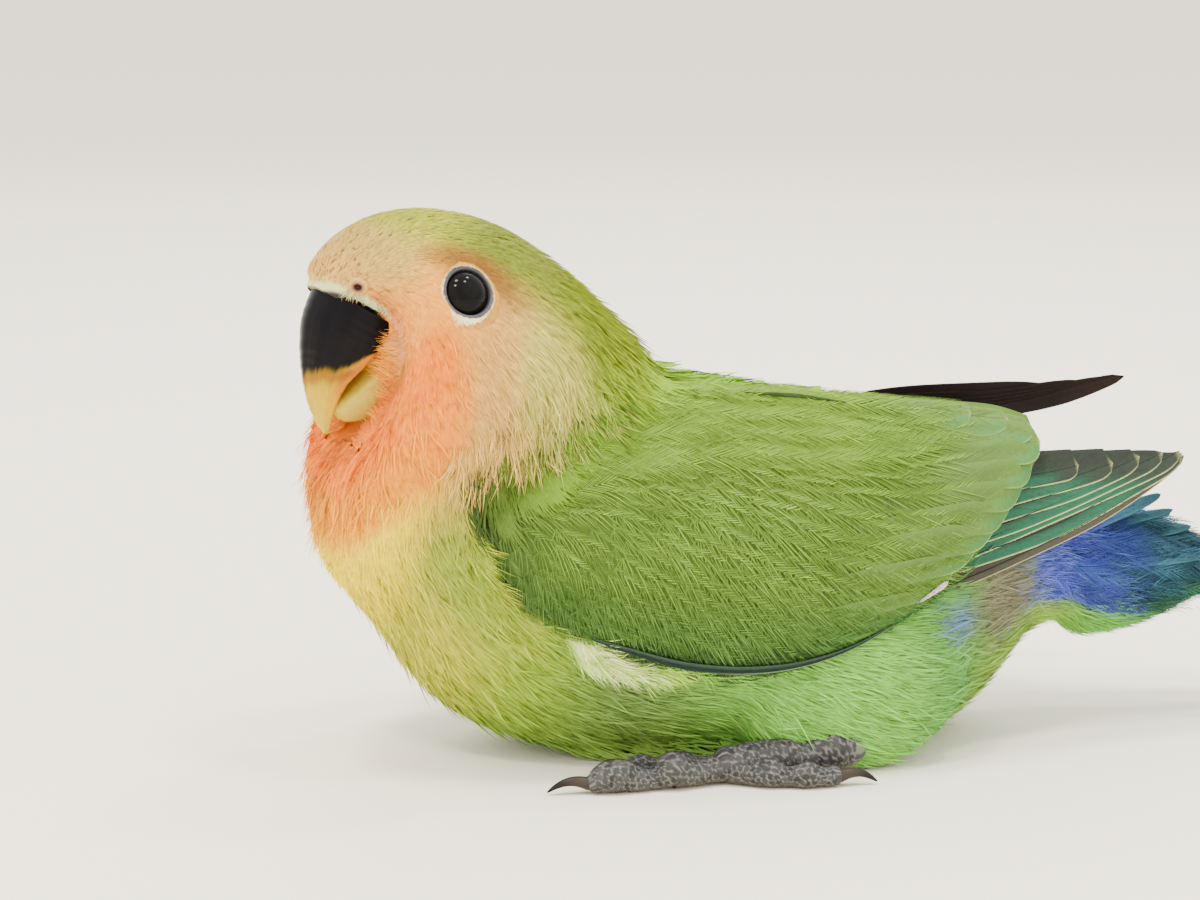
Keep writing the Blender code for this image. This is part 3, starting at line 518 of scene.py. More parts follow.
def tufts(bag, surf, u, v, length, width, blades, angle, rise, inset, colour, seed, start=.22, stations=3,
          spread=1.0, taper=0.0, rough=1.0, uvmap=None, shade=(.72, 1.05), fix=None, curl=0.0, blade_width=1.15, noise=.07, roll_by=.28, lie=1.3,
          tips=None, tips_from=.6):
    """Soft feathers: each a fan of thin barbs over the surface, which starts in the skin and ends at its tip."""
    r = np.random.default_rng(seed)
    F, K = len(u), blades
    if F == 0:
        return
    length, width = np.broadcast_to(length, F), np.broadcast_to(width, F)
    turn = r.normal(0, .10 * rough, F)
    base_angle = angle(u, v) if callable(angle) else np.broadcast_to(angle, F)

    def bent(uu, vv):
        return (angle(uu, vv) if callable(angle) else base_angle) + turn
    P, N, B, UU, VV = march(surf, u, v, length, bent)
    s = np.linspace(-1, 1, K)[None] + r.normal(0, .35 / K, (F, K))
    end = (1 - .30 * np.abs(s) ** 2.2) * (1 + r.normal(0, .05 * rough, (F, K)))
    tt = start + (end - start)[..., None] * np.linspace(0, 1, stations + 1)[None, None]
    pos = along(P, tt.reshape(F, -1)).reshape(F, K, -1, 3)
    nor = along(N, tt.reshape(F, -1)).reshape(F, K, -1, 3)
    bit = along(B, tt.reshape(F, -1)).reshape(F, K, -1, 3)
    over = np.maximum(tt - 1, 0)[..., None] * length[:, None, None, None]
    pos = pos + over * np.cross(bit, nor)
    fan = (.30 + .70 * smoothstep(0, .85, tt)) * spread
    lateral = s[..., None] * fan * width[:, None, None] / 2
    lateral = lateral + (r.normal(0, 1, (F, K)) * curl)[..., None] * tt ** 2 * width[:, None, None] * .5
    rise_f = rise * (1 + r.normal(0, .22 * rough, F))
    ins = np.broadcast_to(inset, F)
    height = (-ins[:, None, None] * np.clip(1 - tt, 0, 1) ** lie + rise_f[:, None, None] * tt ** 1.5
              + r.normal(0, .05 * rough, (F, K))[..., None] * tt - (.10 * width[:, None] * s ** 2)[..., None] * tt)
    centre = pos + bit * lateral[..., None] + nor * height[..., None]
    half = (width[:, None] / K * blade_width / 2 * (1 + r.normal(0, .12, (F, K))))[..., None] * np.linspace(1, .55, stations + 1) ** (1 + taper)
    roll = r.normal(0, roll_by, (F, K))[..., None, None]
    across = bit * np.cos(roll) + nor * np.sin(roll)
    left = centre - across * half[..., None]
    right = centre + across * half[..., None]
    if fix is not None:
        left, right = fix(left), fix(right)
    tone = colour(UU, VV, P)                      # per feather, linear colour
    tone = np.broadcast_to(tone, (F, 3))
    tone = tone * (1 + r.normal(0, noise * .7, F))[:, None]
    # painted shade: each barb darker at its root, lighter towards its tip
    grad = shade[0] + (shade[1] - shade[0]) * (np.clip(tt, 0, 1) ** 1.1)
    paint = tone[:, None, None]
    if tips is not None:
        w = smoothstep(tips_from, 1, tt)[..., None]
        paint = paint * (1 - w) + tips(UU, VV, P)[:, None, None] * w
    c = paint * (grad * (1 + r.normal(0, noise, (F, K)))[..., None])[..., None]
    # vertices: pairs along the blade, then a single tip
    S = stations
    tip = (left[:, :, S] + right[:, :, S]) / 2
    verts = np.empty((F, K, 2 * S + 1, 3))
    verts[:, :, 0:2 * S:2], verts[:, :, 1:2 * S:2] = left[:, :, :S], right[:, :, :S]
    verts[:, :, 2 * S] = tip
    cols = np.empty((F, K, 2 * S + 1, 3))
    cols[:, :, 0:2 * S:2], cols[:, :, 1:2 * S:2] = c[:, :, :S], c[:, :, :S]
    cols[:, :, 2 * S] = c[:, :, S]
    n = 2 * S + 1
    base = (np.arange(F * K) * n)[:, None]
    quads = np.concatenate([base + np.array([[2 * i, 2 * i + 1, 2 * i + 3, 2 * i + 2]]) for i in range(S - 1)]) if S > 1 else None
    tris = base + np.array([[2 * S - 2, 2 * S - 1, 2 * S]])
    su, sv = uvmap(u, v) if uvmap else ((u - surf.u0) / (surf.u1 - surf.u0), (v - surf.v0) / (surf.v1 - surf.v0))
    key = np.empty((F, K, n, 2))
    key[..., 0] = (np.arange(K)[None, :, None] + .5) / K
    key[..., 1] = np.array([k // 2 for k in range(2 * S)] + [S])[None, None] / S
    uv = patch_uv(su[:, None, None], sv[:, None, None], key)
    bag.add(verts.reshape(-1, 3), tris, quads, cols.reshape(-1, 3), uv.reshape(-1, 2))


def vanes(bag, surf, u, v, length, width, barbs, angle, rise, colour, seed, uvmap=None, beta=38.0, shade=(.62, 1.05),
          noise=.06, cover=.84, tip_round=.5, fix=None, loose=0.0, tips=None, lift_from=1.2, lean=0.0):
    """Firm small feathers: barbs leave a shaft on both sides and end on a rounded outline."""
    r = np.random.default_rng(seed)
    F, M = len(u), barbs
    if F == 0:
        return
    length, width = np.broadcast_to(length, F), np.broadcast_to(width, F)
    turn = r.normal(0, .07, F)

    def bent(uu, vv):
        return angle(uu, vv) + turn
    P, N, B, UU, VV = march(surf, u, v, length, bent)
    upward = np.sign(B[..., 2].mean())
    tau = np.linspace(.22, 1.0, M)
    k = 1 - tip_round
    prof = np.where(tau < k, 1 - .22 * ((k - tau) / k) ** 2, np.sqrt(np.clip(1 - ((tau - k) / (1 - k)) ** 2, 0, 1)))
    hw = prof[None] * width[:, None] / 2 * (1 + r.normal(0, .03 + .3 * loose, (F, M)))
    b = radians(beta)
    t1 = np.broadcast_to(tau, (F, M))
    t0 = t1 - hw / np.tan(b) / length[:, None] - .02
    steps = np.array([0, .5, 1.0])
    S = 2
    allv, allc, allk = [], [], []
    tone = np.broadcast_to(colour(UU, VV, P), (F, 3)) * (1 + r.normal(0, noise * .8, F))[:, None]
    rise_f = rise * (1 + r.normal(0, .15, F))
    for sgn in (-1, 1):
        q = steps[None, None]
        t0 = t1 - hw * (1 - lean * sgn * upward) / np.tan(b) / length[:, None] - .02
        tt = t0[..., None] + (t1 - t0)[..., None] * q ** .92
        lat = sgn * hw[..., None] * q ** 1.08 * (1 - lean * sgn * upward)
        tc = np.clip(tt, 0, 1)
        pos = along(P, tc.reshape(F, -1)).reshape(F, M, 3, 3)
        nor = along(N, tc.reshape(F, -1)).reshape(F, M, 3, 3)
        bit = along(B, tc.reshape(F, -1)).reshape(F, M, 3, 3)
        height = rise_f[:, None, None] * np.clip(tt, 0, 1) ** lift_from + (.03 + loose * q) * r.normal(0, 1, (F, M))[..., None] - .10 * np.abs(lat) ** 1.3 * .5
        centre = pos + bit * lat[..., None] + nor * height[..., None]
        run = np.gradient(centre, axis=2)
        side = unit(np.cross(nor, run))
        gap = (tau[1] - tau[0]) * length[:, None] * np.sin(b)
        half = (gap * cover / 2)[..., None] * np.array([1, 1, .7]) * np.ones((F, M, 1))
        roll = (.25 * sgn + r.normal(0, .15, (F, M)))[..., None, None]
        ax = side * np.cos(roll) + nor * np.sin(roll)
        left, right = centre - ax * half[..., None], centre + ax * half[..., None]
        if fix is not None:
            left, right = fix(left), fix(right)
        verts = np.empty((F, M, 5, 3))
        verts[:, :, 0], verts[:, :, 1], verts[:, :, 2], verts[:, :, 3] = left[:, :, 0], right[:, :, 0], left[:, :, 1], right[:, :, 1]
        verts[:, :, 4] = (left[:, :, 2] + right[:, :, 2]) / 2
        # painted shade: each barb darker at its root, lighter towards its tip
        grad = shade[0] + (shade[1] - shade[0]) * np.clip(tt, 0, 1) ** 1.2
        paint = tone[:, None, None]
        if tips is not None:
            w = smoothstep(.5, .95, tt)[..., None]
            paint = paint * (1 - w) + tips(UU, VV, P)[:, None, None] * w
        c = paint * (grad * (1 + r.normal(0, noise, (F, M)))[..., None])[..., None]
        cols = np.stack([c[:, :, 0], c[:, :, 0], c[:, :, 1], c[:, :, 1], c[:, :, 2]], 2)
        key = np.empty((F, M, 5, 2))
        key[..., 0] = .5 + sgn * np.array([.05, .05, .25, .25, .5])[None, None]
        key[..., 1] = tau[None, :, None]
        allv.append(verts)
        allc.append(cols)
        allk.append(key)
    verts, cols, key = np.concatenate(allv, 1), np.concatenate(allc, 1), np.concatenate(allk, 1)
    base = (np.arange(F * 2 * M) * 5)[:, None]
    su, sv = uvmap(u, v) if uvmap else ((u - surf.u0) / (surf.u1 - surf.u0), (v - surf.v0) / (surf.v1 - surf.v0))
    uv = patch_uv(su[:, None, None], sv[:, None, None], key)
    bag.add(verts.reshape(-1, 3), base + np.array([[2, 3, 4]]), base + np.array([[0, 1, 3, 2]]), cols.reshape(-1, 3), uv.reshape(-1, 2))


# ------------------------------------------------------------------ materials
def new_material(name):
    mat = bpy.data.materials.new(name)
    mat.use_nodes = True
    nt = mat.node_tree
    return mat, nt, nt.nodes["Principled BSDF"]


def node(nt, kind, **inputs):
    n = nt.nodes.new(kind)
    for k, val in inputs.items():
        n.inputs[k.replace("_", " ")].default_value = val
    return n


def feather_material(name, roughness=.72, noise_scale=900.0, amount=.10, bump=.0, sheen=.0, weave=None):
    """Colour from the vertex colours (markings with painted light and shade) with a fine procedural variation."""
    mat, nt, shader = new_material(name)
    shader.inputs["Roughness"].default_value = roughness
    shader.inputs["Specular IOR Level"].default_value = .08
    if sheen:
        shader.inputs["Sheen Weight"].default_value = sheen
        shader.inputs["Sheen Roughness"].default_value = .5
    attr = nt.nodes.new("ShaderNodeAttribute")
    attr.attribute_name = "Col"
    coord = nt.nodes.new("ShaderNodeTexCoord")
    noise = node(nt, "ShaderNodeTexNoise", Scale=noise_scale, Detail=2.0)
    ramp = nt.nodes.new("ShaderNodeMapRange")
    ramp.inputs["From Min"].default_value, ramp.inputs["From Max"].default_value = .3, .7
    ramp.inputs["To Min"].default_value, ramp.inputs["To Max"].default_value = 1 - amount, 1 + amount
    mul = nt.nodes.new("ShaderNodeVectorMath")
    mul.operation = "SCALE"
    nt.links.new(coord.outputs["Object"], noise.inputs["Vector"])
    nt.links.new(noise.outputs["Fac"], ramp.inputs["Value"])
    nt.links.new(attr.outputs["Color"], mul.inputs[0])
    nt.links.new(ramp.outputs["Result"], mul.inputs["Scale"])
    nt.links.new(mul.outputs["Vector"], shader.inputs["Base Color"])
    if bump:
        b = node(nt, "ShaderNodeBump", Strength=bump, Distance=.0002)
        nt.links.new(noise.outputs["Fac"], b.inputs["Height"])
        nt.links.new(b.outputs["Normal"], shader.inputs["Normal"])
    return mat


soft = feather_material("plumage_soft", .85, 1400, .08, sheen=.03)
firm = feather_material("plumage_firm", .66, 1600, .08)
skin_mat = feather_material("skin", .75, 500, .10, bump=.4)


# ------------------------------------------------------------------ shared places
def spread_out(h, step_x, step_z, rounds=60):
    """Carries a height field past its outline, falling away steadily."""
    h = np.where(np.isnan(h), -99.0, h)
    for _ in range(rounds):
        pad = np.pad(h, 1, constant_values=-99.0)
        near = np.maximum.reduce([pad[2:, 1:-1] - step_x, pad[:-2, 1:-1] - step_x, pad[1:-1, 2:] - step_z, pad[1:-1, :-2] - step_z])
        h = np.maximum(h, near)
    return h


_pad = 16
_hx, _hz = WX[1] - WX[0], WZ[1] - WZ[0]
_wide = np.pad(WING_OUT, ((_pad, _pad), (0, 0)), constant_values=np.nan)
WING_FIELD = spread_out(_wide, 1.1 * _hx, 1.1 * _hz)
WX0 = WX[0] - _pad * _hx


def wing_field(x, z):
    a = np.clip((x - WX0) / _hx, 0, WING_FIELD.shape[0] - 1.001)
    b = np.clip((z - WZ[0]) / _hz, 0, WING_FIELD.shape[1] - 1.001)
    i, j = a.astype(int), b.astype(int)
    s, t = a - i, b - j
    g = WING_FIELD
    return (g[i, j] * (1 - s) + g[i + 1, j] * s) * (1 - t) + (g[i, j + 1] * (1 - s) + g[i + 1, j + 1] * s) * t


def over_wings(p, margin=.35, soft_mm=.8):
    """Lifts points that would lie inside a folded wing out to just over it, and keeps all above the floor."""
    out = p.copy()
    for side, sign in (("left", -1.0), ("right", 1.0)):
        m = sign * p[..., 1] > 5
        q = wing_unplace(p[m], side)
        h = wing_field(q[:, 0], q[:, 2]) + margin
        o = -q[:, 1]
        k = np.clip(.5 + .5 * (h - o) / soft_mm, 0, 1)
        lifted = np.where(h - o < 9, o * (1 - k) + h * k + soft_mm * k * (1 - k), o)
        q[:, 1] = -lifted
        out[m] = wing_place(q, side)
    out[..., 2] = np.maximum(out[..., 2], .12)
    return out


def above_floor(p):
    p = p.copy()
    p[..., 2] = np.maximum(p[..., 2], .12)
    return p


def degrees_from_back(v):
    return np.abs(np.degrees(np.mod(v + pi, 2 * pi) - pi))


LOWER_SIDE = np.array([(-61.5, 62.0), (-57.6, 58.0), (-58.0, 50.2), (-64, 47.6), (-70, 45.0), (-75, 45), (-75, 62)])


def inside(poly, x, z):
    hit = np.zeros(x.shape, bool)
    for (x0, z0), (x1, z1) in zip(poly, np.roll(poly, -1, 0)):
        cross = ((z0 > z) != (z1 > z)) & (x < (x1 - x0) * (z - z0) / (z1 - z0 + 1e-12) + x0)
        hit ^= cross
    return hit


EYES = {}
for side, sign in (("left", -1.0), ("right", 1.0)):
    low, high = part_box("eye_" + side)
    centre = (np.array(low) + np.array(high)) / 2 / MM - ORIGIN
    d = np.linalg.norm(body.pos - centre, axis=-1)
    i, j = np.unravel_index(d.argmin(), d.shape)
    seat, out = body.pos[i, j], unit(body.n[i, j])
    e1 = unit(np.cross(out, np.array([0, 0, 1.0])))
    e1 *= np.sign(-e1[0]) if abs(e1[0]) > 1e-6 else 1
    e2 = np.cross(out, e1)
    e2 *= np.sign(e2[2])
    near = body.pos[d < 9]
    q = near - seat
    x, y, h = q @ e1, q @ e2, q @ out
    A = np.stack([x * x, x * y, y * y, x, y, np.ones_like(x)], 1)
    fit = np.linalg.lstsq(A, h, rcond=None)[0]
    EYES[side] = dict(centre=centre, seat=seat, out=out, fore=e1, up=e2, fit=fit)


NOSTRILS = [body.read(body.pos, np.array([NOSTRIL_AT[0]]), np.array([s * radians(NOSTRIL_AT[1])]))[0] for s in (1, -1)]


def bare_distance(p):
    """Distance outside the nearest bare place (an eye or a nostril), in mm."""
    eye = eye_distance(p) - 3.72
    hole = np.minimum(np.linalg.norm(p - NOSTRILS[0], axis=-1), np.linalg.norm(p - NOSTRILS[1], axis=-1)) - .85
    return np.minimum(eye, hole)


def eye_distance(p):
    return np.minimum(np.linalg.norm(p - EYES["left"]["seat"], axis=-1), np.linalg.norm(p - EYES["right"]["seat"], axis=-1))


def feathered(u, v):
    """True where the body carries feathers that can be seen: not the bill, the eyes, or under the wings."""
    deg = degrees_from_back(v)
    ok = u < np.interp(deg, *BARE) + .16 * np.sin(u * 977 + v * 1311)
    s = straight.read(straight.pos, u, v)
    ok &= ~(inside(LOWER_SIDE, s[:, 0], s[:, 2]) & (np.abs(s[:, 1]) < 6.0))
    p = body.read(body.pos, u, v)
    ok &= bare_distance(p) > 0
    for side, sign in (("left", -1.0), ("right", 1.0)):
        q = wing_unplace(p, side)
        m = wing_margin(q[:, 0], q[:, 2])
        ok &= ~((sign * p[:, 1] > 4) & (m > 2.0))
    ok &= ~((p[:, 2] < .15) & (np.abs(p[:, 1]) < 14))
    return ok


def shorten_at_eyes(u, v, length, angle):
    """Feathers in front of an eye stop at its ring."""
    length = np.array(length, float)
    near = eye_distance(body.read(body.pos, u, v)) < 9
    if near.any():
        uu, vv, L = u[near], v[near], length[near]
        for _ in range(7):
            P = march(body, uu, vv, L, angle, 3)[0]
            hit = bare_distance(P[:, 1:]).min(1) < -.1
            L = np.where(hit, L * .8, L)
        length[near] = np.where(hit, 0, L)
    return length


# ------------------------------------------------------------------ body plumage
def flow(u, v):
    """Turn of the body feathers from straight back towards the belly, in radians."""
    deg = degrees_from_back(v)
    a = 16 * (1 - smoothstep(0, 1.6, np.abs(u - 3.4) - .6)) * smoothstep(60, 100, deg) * (1 - smoothstep(140, 170, deg))
    a += 12 * smoothstep(10.5, 12.5, u) * (1 - smoothstep(14.2, 16, u)) * smoothstep(50, 85, deg) * (1 - smoothstep(120, 165, deg))
    a += 8 * smoothstep(7, 9, u) * (1 - smoothstep(10, 11.5, u)) * smoothstep(40, 80, deg) * (1 - smoothstep(110, 150, deg))
    a -= 13 * smoothstep(7.7, 8.4, u) * (1 - smoothstep(9.4, 10.4, u)) * smoothstep(97, 106, deg) * (1 - smoothstep(122, 150, deg))
    return np.radians(a)


LENGTH = (np.array([0, 1, 2.5, 4, 6, 7, 8, 9, 10, 11, 12, 13, 14, 15, 16, 17.]),
          np.array([8, 8, 7.5, 7, 6.8, 6.6, 6.2, 5.4, 4.7, 4.0, 3.5, 3.0, 2.5, 2.1, 1.7, 1.3]))
INSET = (np.array([0, 4, 8, 9.5, 11, 12.5, 14, 17.]), np.array([2.0, 2.1, 1.9, 1.5, .95, .6, .42, .32]))


def coat_depth(u, v):
    return np.interp(u, *INSET)


def coat_length(u, v):
    deg = degrees_from_back(v)
    L = np.interp(u, *LENGTH)
    throat = smoothstep(95, 130, deg) * smoothstep(10, 11.5, u)
    return L * (1 + .5 * throat - .18 * smoothstep(9, 11, u) * (1 - smoothstep(30, 60, deg)))


def coat(name, lo, hi, density, seed, blades, ratio=.5, stations=3, where=None, fix=above_floor, rise=.30, **kw):
    """Feathers of the body between two stations, as one or more pieces."""
    u, v = body.scatter(lambda a, b: np.full(np.shape(a), density), seed)
    m = (u >= lo) & (u < hi)
    u, v = u[m], v[m]
    m = feathered(u, v)
    if where is not None:
        m &= where(u, degrees_from_back(v), v)
    u, v = u[m], v[m]
    L = coat_length(u, v) * np.random.default_rng(seed + 1).normal(1, .10, len(u))
    if hi > 10:
        L = shorten_at_eyes(u, v, L, flow)
        m = L > .35
        u, v, L = u[m], v[m], L[m]
    bag = Bag()
    per = blades * (2 * (stations - 1) + 1)
    tufts(bag, body, u, v, L, L * ratio * kw.pop("broad", 1.0), blades, flow, rise, coat_depth(u, v),
          lambda UU, VV, P: body_marking_and_shade(UU[:, -1], VV[:, -1]), seed + 2, stations=stations, fix=fix, uvmap=body_uv, **kw)
    print(name, len(u), "feathers,", bag.tris(), "triangles")
    return bag


def body_uv(u, v):
    return .01 + .98 * u / (len(BODY) - 1), .01 + .98 * (np.mod(v + pi, 2 * pi)) / (2 * pi)


def wing_uv(u, v):
    return .01 + .98 * (u - WINGS["left"].u0) / (WINGS["left"].u1 - WINGS["left"].u0), .01 + .98 * v


pieces = []


def piece(bag, name, material, slot, **kw):
    obj = bag.build(name, material, **kw)
    pieces.append(obj)
    return obj


fine = dict(stations=2, start=.34, lie=2.0, blade_width=1.2)
face = coat("face", 13.4, 17.1, 7.2, 100, 7, ratio=.36, rise=.035, shade=(.90, 1.03), noise=.055, roll_by=.08, rough=.9, **fine)
piece(face, "coat_face", soft, "plumage_head")
crown = coat("head", 10.4, 13.4, 4.3, 110, 8, ratio=.32, rise=.07, shade=(.88, 1.04), noise=.06, roll_by=.12, rough=1.0, **fine)
piece(crown, "coat_head", soft, "plumage_head")
for half, sign in (("left", 1), ("right", -1)):
    nape = coat("neck", 7.6, 10.4, 1.8, 120, 10, ratio=.34, rise=.22, fix=over_wings, shade=(.84, 1.05), curl=.25, rough=1.2, lie=1.6,
                roll_by=.22, where=lambda u, d, v: (np.sin(v) * sign >= 0) & (d < 103) & (u > np.interp(d, [92, 96], [7.6, 9.6])))
    piece(nape, "coat_neck_" + half, soft, "plumage_neck")
front = coat("front", 7.6, 10.4, 1.7, 122, 10, ratio=.34, rise=.22, shade=(.84, 1.05), curl=.25, rough=1.2, lie=1.6, roll_by=.22,
             where=lambda u, d, v: d >= 103)
piece(front, "coat_front", soft, "plumage_neck")
breast = coat("breast", 4.6, 7.6, 1.3, 130, 11, where=lambda u, d, v: d > 60, ratio=.38, rise=.28, shade=(.80, 1.05), curl=.2, lie=1.5)
piece(breast, "coat_breast", soft, "plumage_body")
belly = coat("rear", 1.75, 4.6, 1.2, 140, 11, where=lambda u, d, v: d > 60, ratio=.38, rise=.28, shade=(.80, 1.05), curl=.2, lie=1.5)
piece(belly, "coat_thighs", soft, "plumage_body")
back = coat("back", 1.75, 7.6, .9, 150, 11, where=lambda u, d, v: d <= 60, ratio=.42, rise=.4, shade=(.76, 1.05))
piece(back, "coat_back", soft, "plumage_body")

# loose barbs that stand a little off the neck, breast and belly
bag = Bag()
u, v = body.scatter(lambda a, b: np.full(np.shape(a), .55), 170)
m = (u > 2.2) & (u < 12.8) & feathered(u, v) & ((u < 9.6) | (degrees_from_back(v) > 66))
for side, sign in (("left", -1.0), ("right", 1.0)):
    p = body.read(body.pos, u, v)
    q = wing_unplace(p, side)
    m &= ~((sign * p[:, 1] > 4) & (wing_margin(q[:, 0], q[:, 2]) > -1.2) & ((u < 8) | (degrees_from_back(v) > 100)))
u, v = u[m], v[m]
L = shorten_at_eyes(u, v, coat_length(u, v) * 1.15, flow)
m = L > 1
u, v, L = u[m], v[m], L[m]
tufts(bag, body, u, v, L, L * .5, 3, flow, np.clip(L * .12, .2, .8), coat_depth(u, v) * .5, lambda UU, VV, P: body_marking_and_shade(UU[:, -1], VV[:, -1]) * 1.02,
      171, start=.3, stations=3, blade_width=.24, rough=2.0, curl=.5, shade=(.88, 1.05), fix=over_wings, uvmap=body_uv, roll_by=.6)
piece(bag, "coat_loose_barbs", soft, "plumage_body")

# the neck's fringe: long separate strands which lie over the front of each wing, dark ones below and pale ones on top
bag = Bag()
u, v = body.scatter(lambda a, b: np.full(np.shape(a), 1.5), 180)
deg = degrees_from_back(v)
line_u = np.interp(deg, *FRINGE_END) + .80


def fringe_flow(u, v):
    return flow(u, v) + radians(10)


def fringe_colour(UU, VV, P):
    d = degrees_from_back(VV[:, 0])
    c = mix(np.broadcast_to(srgb(184, 180, 128), d.shape + (3,)), srgb(214, 192, 152), smoothstep(60, 90, d))
    return mix(c, srgb(170, 176, 96), 1 - smoothstep(38, 54, d))


r = np.random.default_rng(181)
m = feathered(u, v) & (deg > 34) & (deg < 102) & (u > line_u - .38) & (u < line_u + .55)
low = m & (r.uniform(0, 1, len(u)) < .33)
tufts(bag, body, u[low], v[low], 7.6, 2.0, 5, fringe_flow, .35, 1.6, lambda UU, VV, P: np.broadcast_to(srgb(112, 122, 66), (len(UU), 3)), 182,
      start=.3, stations=4, blade_width=.5, rough=2.2, curl=.8, shade=(.6, 1.0), fix=over_wings, uvmap=body_uv, roll_by=.5)
top = m & ~low
tufts(bag, body, u[top], v[top], 6.0 + r.normal(0, .9, top.sum()), 2.1, 8, fringe_flow, .75, 1.5, fringe_colour, 183,
      start=.3, stations=4, blade_width=.5, rough=2.4, curl=.7, shade=(.62, 1.12), fix=lambda p: over_wings(p, .6), uvmap=body_uv, roll_by=.5,
      noise=.1)
piece(bag, "coat_fringe", soft, "plumage_neck")

# and along the wing's front edge the outermost feathers of the breast, in the same way
bag = Bag()
r = np.random.default_rng(188)
n = 130
k = r.uniform(.22, 1, 2 * n)
u = np.interp(k, np.linspace(0, 1, 8), [9.3, 8.8, 8.5, 8.3, 8.05, 7.75, 7.4, 7.05]) + .40 + r.normal(0, .08, 2 * n)
v = np.interp(k, np.linspace(0, 1, 8), [104.0, 102.6, 102.4, 103.2, 104.6, 106.8, 109.6, 110.6]) + 1.6 + np.abs(r.normal(0, 1.8, 2 * n))
v = np.radians(v) * np.where(np.arange(2 * n) < n, 1, -1)
tufts(bag, body, u, v, r.normal(4.6, .7, 2 * n), 1.5, 7, lambda a, b: np.radians(np.interp(a, [7.0, 7.6, 8.4, 9.3], [-4.0, 4.0, -2.0, -6.0])), .5, .7,
      lambda UU, VV, P: mix(np.broadcast_to(srgb(164, 176, 96), (len(UU), 3)), srgb(200, 198, 136), np.clip(r.uniform(-.3, 1, len(UU)) + .5 * smoothstep(8.6, 9.4, UU[:, 0]), 0, 1)), 189,
      start=.12, stations=4, blade_width=.5, rough=2.2, curl=.7, shade=(.55, 1.12), fix=lambda p: over_wings(p, .45), uvmap=body_uv, roll_by=.5, noise=.1)
piece(bag, "coat_wing_edge", soft, "plumage_body")

# short bristly barbs from the cheek over the lower mandible
bag = Bag()
r = np.random.default_rng(190)
n = 360
deg = 113 + 47 * r.uniform(0, 1, 2 * n) ** .8
u = np.interp(deg, [104, 112, 120, 135, 160], [15.0, 14.75, 14.6, 14.35, 13.85]) + r.normal(0, .22, 2 * n)
v = np.radians(deg) * np.where(np.arange(2 * n) < n, 1, -1)
tufts(bag, body, u, v, np.interp(deg, [112, 124, 140, 160], [1.4, 4.0, 5.3, 5.0]) * r.normal(1, .25, 2 * n), 1.1, 5,
      lambda a, b: np.radians(np.interp(degrees_from_back(b), [104, 120, 160], [92.0, 112.0, 126.0])), .95, .3,
      lambda UU, VV, P: mix(mix(np.broadcast_to(srgb(232, 170, 110), (len(UU), 3)), srgb(238, 196, 146), r.uniform(0, 1, len(UU))), srgb(218, 182, 148),
                            .8 * (1 - smoothstep(116, 126, degrees_from_back(VV[:, 0])))), 191, start=.06, stations=3,
      blade_width=.34, rough=2.4, curl=.7, shade=(.84, 1.08), uvmap=body_uv, roll_by=.3, noise=.12)
n = 330
deg = r.uniform(98, 162, 2 * n)
u = np.interp(deg, [98, 112, 120, 135, 162], [15.35, 14.75, 14.45, 14.1, 13.5]) - r.uniform(-.15, .75, 2 * n)
v = np.radians(deg) * np.where(np.arange(2 * n) < n, 1, -1)
tufts(bag, body, u, v, r.uniform(2.2, 4.0, 2 * n) * np.interp(deg, [98, 108, 118], [.30, .45, 1.0]), 1.0, 6, lambda a, b: np.radians(np.interp(degrees_from_back(b), [98, 112, 160], [58.0, 92.0, 118.0])), .34, .12,
      lambda UU, VV, P: mix(body_marking_and_shade(UU[:, 0], VV[:, 0]) * 1.03, srgb(218, 182, 148), .8 * (1 - smoothstep(110, 124, degrees_from_back(VV[:, 0])))), 192, start=.04, stations=3,
      blade_width=.5, rough=1.8, curl=.6, shade=(.90, 1.06), uvmap=body_uv, roll_by=.25, noise=.10)
n = 90
deg = r.uniform(66, 112, 2 * n)
u = np.interp(deg, [66, 90, 104, 112], [16.25, 15.95, 15.6, 15.2]) + r.normal(0, .10, 2 * n)
v = np.radians(deg) * np.where(np.arange(2 * n) < n, 1, -1)
tufts(bag, body, u, v, r.uniform(.7, 1.7, 2 * n), .5, 3, lambda a, b: np.radians(np.interp(degrees_from_back(b), [66, 112], [150.0, 118.0])), .42, .1,
      lambda UU, VV, P: mix(np.broadcast_to(srgb(186, 176, 152), (len(UU), 3)), srgb(222, 212, 186), r.uniform(0, 1, len(UU))), 193, start=.05, stations=3,
      blade_width=.4, rough=2.2, curl=.8, shade=(.85, 1.05), uvmap=body_uv, roll_by=.3, noise=.12)
piece(bag, "coat_gape_barbs", soft, "plumage_head")

# looser feathers that hang from the chin and throat
bag = Bag()
r = np.random.default_rng(186)
n = 130
u, v = r.uniform(10.9, 13.4, n), np.radians(r.uniform(128, 180, n)) * np.where(r.uniform(0, 1, n) < .5, 1, -1)
s_ = straight.read(straight.pos, u, v)
m = ~(inside(LOWER_SIDE, s_[:, 0], s_[:, 2]) & (np.abs(s_[:, 1]) < 6.0))
u, v = u[m], v[m]
tufts(bag, body, u, v, r.uniform(4.0, 6.2, len(u)), 2.3, 9, flow, r.uniform(.5, 1.5, len(u)).mean(), .8, lambda UU, VV, P: body_marking_and_shade(UU[:, -1], VV[:, -1]), 187,
      start=.12, stations=4, blade_width=.5, rough=2.4, curl=.8, shade=(.74, 1.07), uvmap=body_uv, roll_by=.4, noise=.09, fix=above_floor)
piece(bag, "coat_throat_barbs", soft, "plumage_head")

